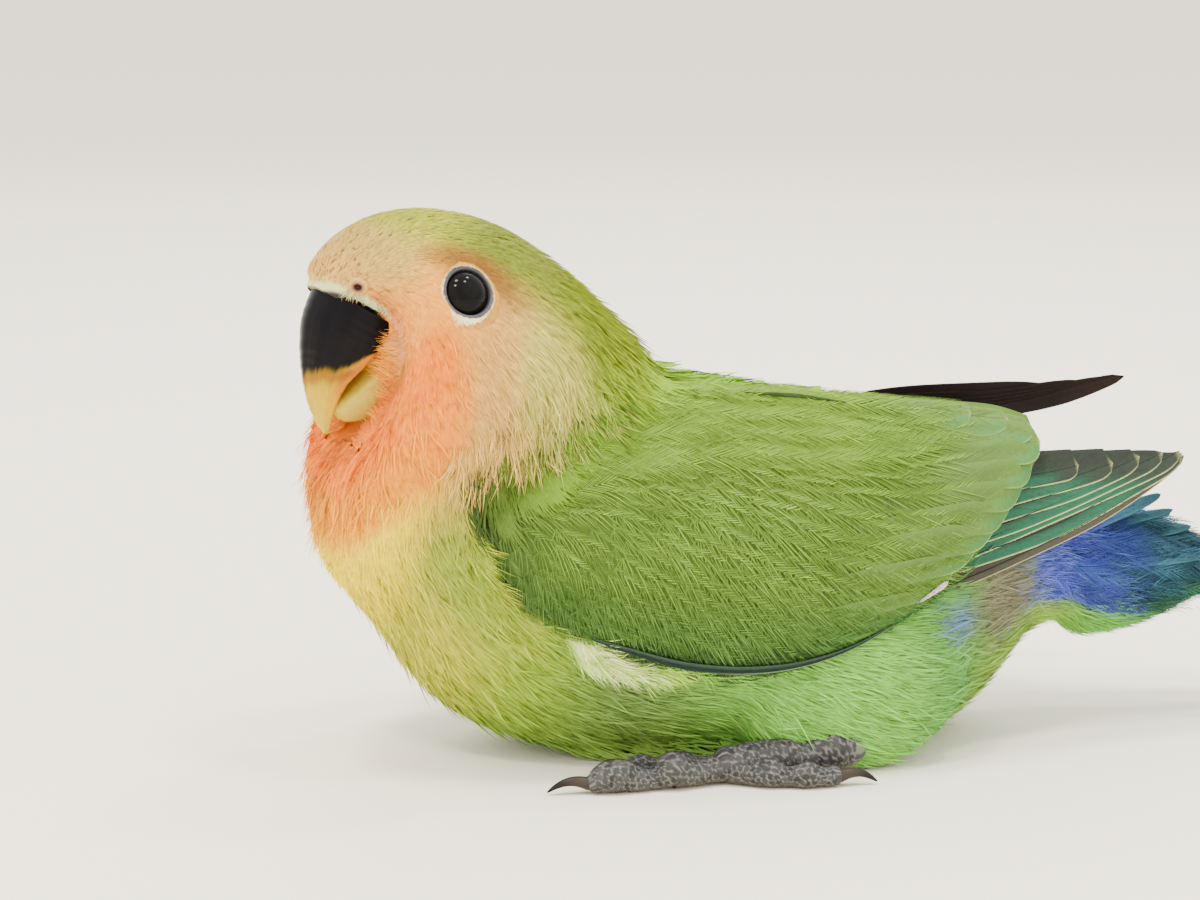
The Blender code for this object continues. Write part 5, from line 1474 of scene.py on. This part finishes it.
def tail_colour(t, s, e, k):
    """Green above with blue-green edges and tips; the outer feathers carry the red base and black bar of the species."""
    c = np.broadcast_to(srgb(28, 92, 66), t.shape + (3,))
    c = mix(c, srgb(36, 120, 132), smoothstep(.35, .9, np.abs(s)) * .9)
    c = mix(c, srgb(60, 130, 186), smoothstep(.78, .95, t) * .7)
    if k > 0:
        w = smoothstep(-.9, -.3, -s * 1.0) * (1 - smoothstep(.60, .66, t)) * smoothstep(.30, .36, t)
        c = mix(c, srgb(196, 104, 66), w * .75)
        c = mix(c, srgb(26, 26, 26), smoothstep(.64, .68, t) * (1 - smoothstep(.74, .79, t)) * .9)
    return mix(c, srgb(110, 160, 130), smoothstep(.25, .12, e) * .6)


bag = Bag()
for k in range(5, -1, -1):
    for sign in ((-1, 1)):
        x_tip = 75.4 - .55 * (k * 1.15) ** 1.6 * .62
        half = np.interp(x_tip, [72.6, 74.4, 75.4], [7.4, 5.0, 2.2]) if k > 2 else None
        y_tip = sign * (1.1 + 1.25 * k)
        y_root = sign * (.8 + .75 * k)
        pts = []
        for f in np.linspace(0, 1, 10):
            x = 40 + (x_tip - 40) * f
            y = y_root + (y_tip - y_root) * f ** .9
            z = 21.9 + (19.2 - 21.9) * (x - 50) / 25.4 - .028 * y * y + .62 - .11 * k
            pts.append((x, y, z))
        axis = np.array(pts)
        n = unit(np.stack([np.full(10, .1), .056 * axis[:, 1], np.ones(10)], 1))
        quill(bag, axis, n, lambda t: 1.75 * blunt(t, .84, 2.0), lambda t: 1.75 * blunt(t, .84, 2.0),
              lambda t, s, e, kk=k: tail_colour(t, s, e, kk), (.5 + sign * .03 * (k + 1), .9), 640 + 2 * k + (sign > 0), lift=0,
              shaft=.17, shaft_colour=(40, 50, 44), gap=.36, beta=24, camber=.08)
obj2 = piece(bag, "rectrices", firm, "flight")
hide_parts("tail")


# ------------------------------------------------------------------ bill
def hash_noise(x, seed, scale=1.0):
    """Smooth one-dimensional noise."""
    r = np.random.default_rng(seed)
    table = r.normal(0, 1, 512)
    k = np.floor(x * scale).astype(int)
    f = x * scale - k
    f = f * f * (3 - 2 * f)
    return table[k % 512] * (1 - f) + table[(k + 1) % 512] * f


def closed_loft(bag, table, u, nv, shape, colour):
    """Fine closed loft; shape(p, n, U, V) may push the surface, colour(U, V, p) paints it."""
    v = np.linspace(-pi, pi, nv + 1)
    U, V = np.meshgrid(u, v, indexing="ij")
    p = section(table, U, V)
    surf = Surface(p, np.linspace(0, 1, len(u)), v, wrap=True)
    surf.orient(p - p[:, :-1].mean(1)[:, None])
    q = shape(p, surf.n, U, V)[:, :-1]
    c = colour(U[:, :-1], V[:, :-1], q)
    q = turn_head(q)
    shell(bag, q, c)


def shell(bag, pos, colour, wrap=True, caps=True):
    nu, nv = pos.shape[:2]
    verts, cols = pos.reshape(-1, 3), np.broadcast_to(colour, pos.shape).reshape(-1, 3)
    start = bag.n
    centre = pos.mean((0, 1))
    quads = grid_faces(nu, nv, wrap)
    a, b, c = verts[quads[:, 0]], verts[quads[:, 1]], verts[quads[:, 2]]
    mid = pos.mean(1)
    out = (np.cross(b - a, c - a) * (a - mid[quads[:, 0] // nv])).sum()
    if out < 0:
        quads = quads[:, ::-1]
    bag.add(verts, None, quads, cols, uv=np.full(2, .5))
    if caps:
        for row in (0, nu - 1):
            ring = start + row * nv + np.arange(nv)
            bag.add(pos[row].mean(0)[None], None, None, cols.reshape(nu, nv, 3)[row].mean(0), uv=np.full(2, .5))
            i, j = ring, np.roll(ring, -1)
            tri = np.stack([j, i, np.full(nv, bag.n - 1)], 1)
            if (row == 0) == (out >= 0):
                tri = tri[:, ::-1]
            bag.f3.append(tri[:, ::-1] if row == 0 and False else tri)


def bill_colour(U, V, p):
    x, z = p[..., 0], p[..., 2]
    edge_x = np.array([-60.6, -62.4, -64.7, -66.6, -67.7, -68.2])
    edge_z = np.array([60.2, 58.1, 55.8, 53.8, 51.6, 49.4])
    # distance above the cutting edge, in the side view
    dx, dz = x[..., None] - np.interp(np.linspace(0, 1, 60), np.linspace(0, 1, 6), edge_x), z[..., None] - np.interp(np.linspace(0, 1, 60), np.linspace(0, 1, 6), edge_z)
    d = np.sqrt(dx ** 2 + dz ** 2).min(-1)
    jag = hash_noise(V * 6 + 9, 3) * .30 + hash_noise(V * 17 + 4, 4) * .16
    black = smoothstep(-.7, .8, z - 56.2 + .75 * np.cos(V * 1.0) + jag) * smoothstep(-.1, .9, d + .4 * jag - np.interp(z, [50, 56, 57.8, 58.8, 59.8], [2.6, 2.5, 1.4, -.2, -1.6]))
    black = np.maximum(black, smoothstep(.35, .15, U))
    streak = hash_noise(V * 11, 5) * .5 + hash_noise(V * 29, 6) * .3
    dark = mix(srgb(10, 6, 12), srgb(34, 22, 36), np.clip(.3 + .45 * streak, 0, 1) * .5)
    horn = mix(np.array([.56, .37, .004]), np.array([.60, .44, .03]), smoothstep(52, 47, z))
    horn = mix(horn, srgb(208, 162, 100), smoothstep(3.0, 1.5, d) * smoothstep(50.5, 54, z))
    brown = np.exp(-((z - 55.3 + jag + .5 * np.cos(V)) / 1.1) ** 2) * .62
    horn = mix(horn, srgb(150, 86, 44), brown * smoothstep(1.0, 2.0, d))
    return mix(horn, dark, black)


def bill_shape(p, n, U, V):
    deg = degrees_from_back(V)
    growth = .035 * hash_noise(V * 13, 7) + .03 * hash_noise(U * 6 + .3 * np.sin(V * 3), 8)
    keel = .16 * np.exp(-(deg / 9) ** 2) * (1 - smoothstep(5.5, 7, U))
    return p + n * (growth + keel)[..., None]


bag = Bag()
uu = np.concatenate([np.linspace(0, 6, 90)[:-1], np.linspace(6, 6.97, 30)])
closed_loft(bag, BILL_UPPER, uu, 120, bill_shape, bill_colour)
horn_mat, nt, shader = new_material("bill_horn")
shader.inputs["Roughness"].default_value = .28
shader.inputs["Specular IOR Level"].default_value = .07
shader.inputs["Coat Weight"].default_value = .0
shader.inputs["Coat Roughness"].default_value = .2
shader.inputs["Subsurface Weight"].default_value = .0
attr = nt.nodes.new("ShaderNodeAttribute")
attr.attribute_name = "Col"
coord = nt.nodes.new("ShaderNodeTexCoord")
n1 = node(nt, "ShaderNodeTexNoise", Scale=2600.0, Detail=3.0)
n2 = node(nt, "ShaderNodeTexNoise", Scale=700.0, Detail=2.0)
rng_node = nt.nodes.new("ShaderNodeMapRange")
rng_node.inputs["To Min"].default_value, rng_node.inputs["To Max"].default_value = .82, 1.16
mul = nt.nodes.new("ShaderNodeVectorMath")
mul.operation = "SCALE"
bump = node(nt, "ShaderNodeBump", Strength=.25, Distance=.00006)
nt.links.new(coord.outputs["Object"], n1.inputs["Vector"])
nt.links.new(coord.outputs["Object"], n2.inputs["Vector"])
nt.links.new(n2.outputs["Fac"], rng_node.inputs["Value"])
nt.links.new(attr.outputs["Color"], mul.inputs[0])
nt.links.new(rng_node.outputs["Result"], mul.inputs["Scale"])
nt.links.new(mul.outputs["Vector"], shader.inputs["Base Color"])
nt.links.new(n1.outputs["Fac"], bump.inputs["Height"])
nt.links.new(bump.outputs["Normal"], shader.inputs["Normal"])
obj = bag.build("bill_upper_horn", horn_mat)
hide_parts("bill_upper")
bag = Bag()
closed_loft(bag, BILL_LOWER, np.linspace(0, 5, 70), 90, lambda p, n, U, V: p + n * (.012 * hash_noise(U * 5, 9) + .015 * hash_noise(V * 9, 10))[..., None],
            lambda U, V, p: mix(np.broadcast_to(np.array([.50, .39, .04]), U.shape + (3,)), np.array([.56, .43, .035]), smoothstep(2.5, 4.5, U)) * (1 + .05 * hash_noise(V * 14, 12))[..., None])
obj = bag.build("bill_lower_horn", horn_mat)
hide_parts("bill_lower")

# ------------------------------------------------------------------ eyes
for side in ("left", "right"):
    E = EYES[side]
    bag = Bag()
    th = np.concatenate([np.linspace(.0, 60, 50), np.linspace(63, 180, 30)[:]]) * pi / 180
    ph = np.linspace(0, 2 * pi, 97)[:-1]
    T, PH = np.meshgrid(th, ph, indexing="ij")
    rad = EYE_RADIUS + 0 * T
    local = np.sin(T)[..., None] * (np.cos(PH)[..., None] * E["fore"] + np.sin(PH)[..., None] * E["up"]) + np.cos(T)[..., None] * E["out"]
    pos = E["centre"] + local * rad[..., None]
    flat = EYE_RADIUS * np.sin(T)
    c = mix(np.broadcast_to(srgb(6, 6, 7), T.shape + (3,)), srgb(22, 17, 16), smoothstep(1.9, 2.2, flat) * (1 - smoothstep(2.7, 3.0, flat)) * (.7 + .3 * np.sin(PH * 40)))
    shell(bag, pos, c)
    mat, nt, shader = new_material("eye_" + side)
    shader.inputs["Roughness"].default_value = .04
    shader.inputs["Specular IOR Level"].default_value = .07
    attr = nt.nodes.new("ShaderNodeAttribute")
    attr.attribute_name = "Col"
    coord = nt.nodes.new("ShaderNodeTexCoord")
    nz = node(nt, "ShaderNodeTexNoise", Scale=1500.0, Detail=3.0)
    rr = nt.nodes.new("ShaderNodeMapRange")
    rr.inputs["To Min"].default_value, rr.inputs["To Max"].default_value = .6, 1.4
    mul = nt.nodes.new("ShaderNodeVectorMath")
    mul.operation = "SCALE"
    nt.links.new(coord.outputs["Object"], nz.inputs["Vector"])
    nt.links.new(nz.outputs["Fac"], rr.inputs["Value"])
    nt.links.new(attr.outputs["Color"], mul.inputs[0])
    nt.links.new(rr.outputs["Result"], mul.inputs["Scale"])
    nt.links.new(mul.outputs["Vector"], shader.inputs["Base Color"])
    obj = bag.build("eyeball_" + side, mat)
    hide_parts("eye_" + side)

# ------------------------------------------------------------------ skin
skin = Bag()
su = np.linspace(0, len(BODY) - 1, 170)
sv = np.linspace(-pi, pi, 181)[:-1]
SU, SV = np.meshgrid(su, sv, indexing="ij")
P = body.read(body.pos, SU.ravel(), SV.ravel()).reshape(SU.shape + (3,))
N = unit(body.read(body.n, SU.ravel(), SV.ravel())).reshape(SU.shape + (3,))
P = P - N * coat_depth(SU, SV)[..., None]
P[..., 2] = np.maximum(P[..., 2], .05)
# the skin under the coat is painted darker, most under the long rear plumage, as painted shade between the feathers
shade_skin = np.interp(SU, [0, 9, 11, 12.5, 17], [.6, .68, .86, .95, .98])[..., None]
shell(skin, P, body_marking_and_shade(SU, SV) * shade_skin)
for side in ("left", "right"):
    X, A = np.meshgrid(np.linspace(-46.4, 30.4, 90), np.linspace(0.02, .98, 40), indexing="ij")
    outer = wing_grid(X, A)
    inner = outer.copy()
    inner[..., 1] += np.interp(X, WING[:, 0], WING[:, 7]) * .8
    outer[..., 1] += .55
    ring = np.concatenate([outer, inner[:, ::-1]], 1)
    # painted shade: the wing's skin under the coverts is painted much darker than the feathers, so the gaps between
    # barbs read dark
    cols = np.concatenate([wing_marking_and_shade(X, A) * .52, wing_marking_and_shade(X, A)[:, ::-1] * .4], 1)
    shell(skin, wing_place(ring, side), cols)
    # lids: a grey rim on the eyeball, then a pale ring of fine bare skin
    E = EYES[side]
    rr_ = np.array([2.92, 2.98, 3.05, 3.12, 3.20, 3.29, 3.37, 3.45, 3.52, 3.59, 3.67, 3.76, 3.86, 3.97, 4.1, 4.3, 4.6, 5.0, 5.4])
    hh_ = np.array([-.50, -.26, -.08, .04, .11, .13, .11, .06, .02, .04, .08, .08, .03, -.05, -.12, -.20, -.30, -.42, -.7])
    al = np.linspace(0, 2 * pi, 145)[:-1]
    R, AL = np.meshgrid(rr_, al, indexing="ij")
    H = np.repeat(hh_[:, None], len(al), 1)
    rs = np.random.default_rng(31 if side == "left" else 32)
    fold = .03 * np.sin(AL * 37 + .6 * np.sin(AL * 5)) * np.exp(-((R - 3.78) / .2) ** 2) + .02 * np.sin(AL * 41) * np.exp(-((R - 3.25) / .15) ** 2)
    H = H + fold + rs.normal(0, .016, R.shape) * (R > 3)
    lx, ly = R * np.cos(AL) * (1 - .045 * smoothstep(3.1, 3.5, R) * (1 - smoothstep(3.9, 4.6, R))), R * np.sin(AL)
    f = E["fit"]
    base = f[0] * lx ** 2 + f[1] * lx * ly + f[2] * ly ** 2 + f[3] * lx + f[4] * ly + f[5]
    base = base * smoothstep(2.7, 3.6, R)
    pos = E["seat"] + lx[..., None] * E["fore"] + ly[..., None] * E["up"] + (base + H)[..., None] * E["out"]
    grey, white, tan = srgb(112, 112, 114), srgb(216, 206, 188), srgb(200, 164, 114)
    front_low = np.clip(np.cos(AL + radians(38)), 0, 1)
    w = smoothstep(3.50, 3.68, R + .16 * front_low - .07 + .04 * hash_noise(AL * 9, 15) + rs.normal(0, .035, R.shape))[..., None]
    # the grey rim is darker at its inner edge, and painted darker towards the top as painted shade under the feathers
    # above the eye
    c = grey * (.22 + .85 * smoothstep(2.96, 3.2, R) * (1 - .35 * smoothstep(.2, .9, np.sin(AL))))[..., None] * (1 - w) + white * w
    c = mix(c, tan, smoothstep(3.60, 3.76, R + .06 * hash_noise(AL * 14, 16) - .62 * front_low))
    c = c * (1 + rs.normal(0, .07, R.shape))[..., None]
    start = skin.n
    skin.add(pos.reshape(-1, 3), None, grid_faces(len(rr_), len(al), True)[:, ::-1 if side == "left" else 1], c.reshape(-1, 3), uv=np.full(2, .5))

# core under the tail coverts, painted at about half brightness as painted shade under them
U, V = np.meshgrid(np.linspace(.25, 7.0, 60), np.linspace(-pi, pi, 73)[:-1], indexing="ij")
P = rear.read(rear.pos, U.ravel(), V.ravel()).reshape(U.shape + (3,)) - unit(rear.read(rear.n, U.ravel(), V.ravel())).reshape(U.shape + (3,)) * 1.7
core = rear_colour(U.reshape(-1, 1), V.reshape(-1, 1), P.reshape(-1, 1, 3)).reshape(P.shape)
shell(skin, P, core * .55)

# the bare band over the bill, crusty, with the nostrils in its upper edge
CERE = np.array([(-69.9, 66.9, -59.9, 60.9, 6.5, .28, 2.4), (-69.8, 68.0, -59.4, 61.6, 7.1, .30, 2.4), (-69.0, 69.2, -58.8, 62.4, 7.4, .32, 2.4)])
v = np.linspace(-pi, pi, 281)
u = np.linspace(0, 2, 40)
U, V = np.meshgrid(u, v, indexing="ij")
p = section(CERE, U, V)
surf = Surface(p, u, v, wrap=True)
surf.orient(p - p[:, :-1].mean(1)[:, None])
crust = hash_noise(V * 30 + U * 2, 11) * .06 + hash_noise(V * 70 + U * 9, 13) * .045 + hash_noise(V * 130 - U * 23, 14) * .035
swell = .16 * np.sin(np.clip(U, 0, 1.2) / 1.2 * pi) + crust - .25 * (1 - smoothstep(0, .12, U))
p = (p + surf.n * swell[..., None])[:, :-1]
c = mix(np.broadcast_to(srgb(208, 200, 170), p.shape), srgb(184, 190, 168), smoothstep(1.0, .1, U[:, :-1])) * (1 + 2.4 * crust[:, :-1])[..., None]
c = mix(c, srgb(168, 158, 138), smoothstep(74, 96, degrees_from_back(V[:, :-1])) * .7)
# painted shade: a dark line along the edge that tucks in against the bill
c = mix(c, srgb(120, 114, 104), smoothstep(.12, .0, U[:, :-1]))
shell(skin, turn_head(p), c)
for k, (place, sign) in enumerate(zip(NOSTRILS, (1, -1))):
    n = unit(body.read(body.n, np.array([NOSTRIL_AT[0]]), np.array([sign * radians(NOSTRIL_AT[1])])))[0]
    e1 = unit(np.cross(n, np.array([0, 0, 1.0])))
    e2 = np.cross(n, e1)
    rr_ = np.array([.02, .20, .38, .47, .54, .61, .70, .82, .96, 1.10, 1.28])
    hh_ = np.array([.01, .01, .03, .08, .13, .17, .17, .13, .06, -.05, -.35])
    al = np.linspace(0, 2 * pi, 49)[:-1]
    R, AL = np.meshgrid(rr_, al, indexing="ij")
    rs = np.random.default_rng(41 + k)
    H = np.repeat(hh_[:, None], len(al), 1) + rs.normal(0, .02, R.shape) * (R > .5)
    pos = place + R[..., None] * (np.cos(AL)[..., None] * e1 * 1.12 + np.sin(AL)[..., None] * e2 * .95) + H[..., None] * n
    # the nostril is only a shallow dish; its dark brown middle is painted shade of a deep opening, inside a pinkish-tan
    # rim
    c = mix(np.broadcast_to(srgb(58, 28, 24), R.shape + (3,)), srgb(172, 134, 106), smoothstep(.36, .62, R))
    c = mix(c, srgb(206, 180, 138), smoothstep(.60, 1.0, R)) * (1 + rs.normal(0, .06, R.shape))[..., None]
    quads = grid_faces(len(rr_), len(al), True)
    a, b, d = pos.reshape(-1, 3)[quads[200, :3]]
    if np.cross(b - a, d - a) @ n < 0:
        quads = quads[:, ::-1]
    skin.add(pos.reshape(-1, 3), None, quads, c.reshape(-1, 3), uv=np.full(2, .5))
obj = skin.build("skin", skin_mat)
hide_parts("head", "neck", "trunk", "rump", "thigh_left", "thigh_right", "wing_left", "wing_right", "cere", "foot_left", "foot_right", "tail_coverts")

# fine white down on the ring of each eye
bag = Bag()
for side in ("left", "right"):
    E = EYES[side]
    r = np.random.default_rng(51 if side == "left" else 52)
    n = 1300
    al = r.uniform(0, 2 * pi, n)
    front_low = np.clip(np.cos(al + radians(38)), 0, 1)
    R = 3.60 + r.uniform(0, 1, n) * (.06 + .70 * front_low) - .12 * front_low
    reach = r.uniform(.20, .42, n) * (.30 + 2.2 * front_low) * np.where(r.uniform(0, 1, n) < .30 + .7 * front_low, 1, .35)
    lean = r.normal(0, .35, n)
    f = E["fit"]

    def on_ring(rad, ang, h):
        lx, ly = rad * np.cos(ang), rad * np.sin(ang)
        base = f[0] * lx ** 2 + f[1] * lx * ly + f[2] * ly ** 2 + f[3] * lx + f[4] * ly + f[5]
        return E["seat"] + lx[:, None] * E["fore"] + ly[:, None] * E["up"] + (base + h)[:, None] * E["out"]
    a = on_ring(R, al - .010, .02 + 0 * R)
    b = on_ring(R, al + .010, .02 + 0 * R)
    c = on_ring(R + reach, al + lean * reach / R, r.uniform(.12, .26, n))
    verts = np.stack([a, b, c], 1).reshape(-1, 3)
    tone = srgb(236, 226, 204) * (1 + r.normal(0, .06, n))[:, None]
    key = np.stack([np.broadcast_to(np.array([0, 1, .5]), (n, 3)), np.broadcast_to(np.array([0, 0, 1.0]), (n, 3))], -1)
    at = body_uv(np.full(n, 12.2), np.full(n, radians(64) * (1 if side == "left" else -1)))
    bag.add(verts, np.arange(3 * n).reshape(-1, 3), None, np.repeat(tone, 3, 0), patch_uv(at[0][:, None], at[1][:, None], key).reshape(-1, 2))
piece(bag, "coat_eye_down", soft, "plumage_head")

# ------------------------------------------------------------------ feet
_join = (-15.0, -23.0, 2.4, 2.25)
FOOT = {"tarsus": [(2.6, -21.3, 3.6, 2.8), (.6, -21.5, 3.7, 3.15), (-1.8, -21.8, 3.2, 2.6), (-4.2, -22.1, 2.8, 2.1), (-7.0, -22.4, 2.9, 2.35), (-11.0, -22.7, 2.7, 2.4), _join],
        "toe_3": [(-14.5, -23.1, 2.2, 2.0), (-17.4, -23.7, 1.75, 1.6), (-20.6, -24.3, 1.95, 1.9), (-22.6, -24.5, 2.35, 2.35), (-24.7, -24.7, 1.4, 1.35), (-27.2, -24.9, 1.5, 1.55), (-30.2, -24.9, 2.1, 2.1), (-32.0, -24.9, 1.8, 1.85), (-33.2, -24.9, 1.2, 1.3)],
        "toe_4": [(-15.0, -23.4, 2.0, 1.8), (-12.6, -24.7, 1.5, 1.5), (-9.4, -26.1, 1.7, 1.85), (-7.4, -26.7, 1.3, 1.3), (-4.6, -27.2, 1.5, 1.7), (-2.4, -27.3, 1.2, 1.25), (-1.0, -27.3, 1.25, 1.3)],
        "toe_2": [(-14.7, -22.5, 2.05, 1.85), (-17.8, -21.1, 1.5, 1.45), (-21.4, -19.7, 1.65, 1.85), (-23.6, -19.0, 1.25, 1.25), (-25.6, -18.5, 1.4, 1.5), (-26.8, -18.2, 1.2, 1.3)],
        "toe_1": [(-15.2, -22.3, 1.95, 1.7), (-12.4, -20.3, 1.4, 1.4), (-9.4, -18.7, 1.45, 1.6), (-7.4, -18.0, 1.1, 1.2)]}
CLAWS = {"toe_3": ((-1.0, 0.02), 5.0), "toe_4": ((1.0, -0.02), 4.6), "toe_2": ((-0.97, 0.25), 4.4), "toe_1": ((0.95, 0.3), 3.4)}


def round_tube(bag, path, mirror, around, colour, relief, steps=9, blunt_end=.8):
    """Tube with rounded ends through (x, y, z, radius) points; relief(s, ang, side) raises its surface."""
    rows = np.array(path, float)
    n = (len(rows) - 1) * steps + 1
    rows = resample(rows, np.linspace(0, 1, n))
    c, r = rows[:, :3], rows[:, 3]
    t = unit(np.gradient(c, axis=0))
    side = unit(np.cross(np.array([0, 0, 1.0]), t))
    up = np.cross(t, side)
    s = np.concatenate([[0], np.cumsum(np.linalg.norm(np.diff(c, axis=0), axis=1))])
    ang = np.linspace(0, 2 * pi, around + 1)[:-1]
    caps_a = np.radians([80, 60, 40, 20])
    cc, rr, ss, tt, ups, sides = [], [], [], [], [], []
    for a in caps_a:
        cc.append(c[0] - t[0] * r[0] * np.sin(a) * blunt_end), rr.append(r[0] * np.cos(a)), ss.append(0.0), ups.append(up[0]), sides.append(side[0])
    for k in range(n):
        cc.append(c[k]), rr.append(r[k]), ss.append(s[k]), ups.append(up[k]), sides.append(side[k])
    for a in caps_a[::-1]:
        cc.append(c[-1] + t[-1] * r[-1] * np.sin(a) * blunt_end), rr.append(r[-1] * np.cos(a)), ss.append(s[-1]), ups.append(up[-1]), sides.append(side[-1])
    cc, rr, ss, ups, sides = map(np.array, (cc, rr, ss, ups, sides))
    S, A = np.meshgrid(ss, ang, indexing="ij")
    ends = np.ones(len(rr))
    ends[:4], ends[-4:] = np.cos(caps_a) ** 2, np.cos(caps_a[::-1]) ** 2
    h = relief(S, A) * np.minimum(rr / max(r.min(), .3), 1)[:, None] * ends[:, None]
    rad = rr[:, None] + h
    pos = cc[:, None] + rad[..., None] * (np.cos(A)[..., None] * ups[:, None] + np.sin(A)[..., None] * sides[:, None])
    pos[..., 2] = np.maximum(pos[..., 2], 0.0)
    if mirror:
        pos[..., 1] *= -1
    shell(bag, pos, colour(S, A, h))


def cells(S, A, size=1.0, girth=1.9, seed=77):
    """How far each place on a toe is from the groove around its scale, and a number for each scale."""
    r = np.random.default_rng(seed)
    rows, cols = int(S.max() / size) + 5, max(int(2 * pi * girth / size), 6)
    gi, gj = np.meshgrid(np.arange(rows) - 2, np.arange(cols), indexing="ij")
    px = (gi + .5 * (gj % 2) + r.uniform(-.30, .30, gi.shape)) * size
    py = (gj + r.uniform(-.30, .30, gi.shape)) * (2 * pi / cols)
    tag = r.uniform(0, 1, gi.shape)
    px, py, tag = (np.concatenate([q, q, q]).ravel() for q in (px, py, tag))
    py = py + np.repeat([-2 * pi, 0, 2 * pi], gi.size)
    best, second, who = np.full(S.shape, 9.0), np.full(S.shape, 9.0), np.zeros(S.shape)
    for x, y, t in zip(px, py, tag):
        d = np.sqrt((S - x) ** 2 + ((A - y) * girth) ** 2)
        nearer = d < best
        second = np.where(nearer, best, np.minimum(second, d))
        who = np.where(nearer, t, who)
        best = np.where(nearer, d, best)
    return second - best, who


_scales = {}


def scales(S, A):
    key = (S.shape, round(float(S.max()), 4))
    if key not in _scales:
        _scales[key] = cells(S, A, .88)
    return _scales[key]


def scutes(S, A):
    """Knobbly plates of uneven outline."""
    gap, who = scales(S, A)
    return -.06 + (.09 + .08 * who) * smoothstep(.0, .24, gap) + .03 * np.sin(S * 2.1 + np.cos(A) * 2)


def scute_colour(S, A, h):
    gap, who = scales(S, A)
    c = mix(np.broadcast_to(srgb(70, 69, 70), S.shape + (3,)), srgb(112, 110, 108), who * .8)
    c = mix(c, srgb(188, 184, 176), smoothstep(.19, .08, gap) * smoothstep(.0, .05, gap) * .50)
    c = mix(c, srgb(62, 58, 56), smoothstep(.05, .0, gap) * .6)
    return mix(c, srgb(150, 138, 112), smoothstep(-.5, -1.0, np.cos(A)) * .6)


scale_mat = feather_material("scaly_skin", .5, 2400, .14, bump=.35)
for side, mirror in (("left", False), ("right", True)):
    bag = Bag()
    for name, path in FOOT.items():
        round_tube(bag, path, mirror, 56, scute_colour, scutes, steps=13)
    obj = bag.build("foot_scales_" + side, scale_mat)
    for k, (name, (direction, length)) in enumerate(sorted(CLAWS.items(), key=lambda q: q[0])):
        x, y, z, rad = FOOT[name][-1]
        d = np.array([*direction, 0.0])
        d /= np.linalg.norm(d)
        path = []
        for f in np.linspace(0, 1, 7):
            lift = z * (1 - f ** 2.2) + .30 * f + .45 * np.sin(pi * f)
            q = np.array([x, y, 0]) + d * (rad * .55 + (length + .35 * rad) * f)
            path.append((q[0], q[1], lift, .78 * (1 - f) ** .75 + .12))
        bag = Bag()
        round_tube(bag, path, mirror, 24, lambda S, A, h: mix(np.broadcast_to(srgb(92, 80, 72), S.shape + (3,)), srgb(52, 46, 44), smoothstep(1.5, 4.5, S)),
                   lambda S, A: .02 * np.sin(A * 9) - .05 * np.exp(-((A - pi) / .5) ** 2), steps=6)
        obj = bag.build("claw_%s_%s" % (name[-1], side) + "_horn", horn_mat)
        number = {"toe_1": 1, "toe_2": 2, "toe_3": 3, "toe_4": 4}[name]
        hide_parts("claw_%d_%s" % (number, side))

# ------------------------------------------------------------------ room, camera, lights
def build_room():
    scene = bpy.context.scene
    world = bpy.data.worlds.new("studio")
    world.use_nodes = True
    world.node_tree.nodes["Background"].inputs["Color"].default_value = (1.0, .985, .955, 1)
    world.node_tree.nodes["Background"].inputs["Strength"].default_value = 2.1
    scene.world = world
    mat, nt, shader = new_material("floor")
    shader.inputs["Base Color"].default_value = (.95, .885, .745, 1)
    shader.inputs["Specular IOR Level"].default_value = .1
    shader.inputs["Roughness"].default_value = .9
    mesh = bpy.data.meshes.new("floor")
    s = 60.0
    mesh.from_pydata([(-s, -s, 0), (s, -s, 0), (s, s, 0), (-s, s, 0)], [], [(0, 1, 2, 3)])
    floor = bpy.data.objects.new("floor", mesh)
    floor.location.z = -0.0002
    mesh.materials.append(mat)
    scene.collection.objects.link(floor)

    def area(name, place, size, energy, colour):
        lamp = bpy.data.lights.new(name, "AREA")
        lamp.shape, lamp.size, lamp.energy, lamp.color = "DISK", size, energy, colour
        o = bpy.data.objects.new(name, lamp)
        o.location = place
        o.rotation_euler = (Vector((0, 0, .04)) - Vector(place)).to_track_quat("-Z", "Y").to_euler()
        scene.collection.objects.link(o)

    area("key", (-.42, -.46, .88), .12, 5.0, (1, .97, .92))
    area("key_over", (-.285, -.125, 1.06), .17, 5.4, (1, .97, .92))
    area("key_side", (.21, -.25, 1.05), .14, 4.4, (1, .97, .92))
    area("key_rear", (.32, .185, .98), .12, 3.0, (1, .97, .92))
    area("fill", (.60, -.60, .60), 1.3, 3.6, (1, .98, .95))
    area("back", (.1, .7, .7), .6, 3.4, (1, .98, .96))

    cam = bpy.data.cameras.new("camera")
    cam.lens, cam.sensor_width, cam.sensor_fit = 82.1, 36.0, "HORIZONTAL"
    cam.clip_start, cam.clip_end = .01, 200
    o = bpy.data.objects.new("camera", cam)
    az, el, dist = radians(-10), radians(10), 380.0
    target = np.array([-28.0, 0, 41.5]) + ORIGIN
    back = np.array([sin(az) * cos(el), -cos(az) * cos(el), sin(el)])
    place = (target + back * dist) * MM
    o.location = place
    o.rotation_euler = (Vector(target * MM) - Vector(place)).to_track_quat("-Z", "Y").to_euler()
    scene.collection.objects.link(o)
    scene.camera = o


build_room()
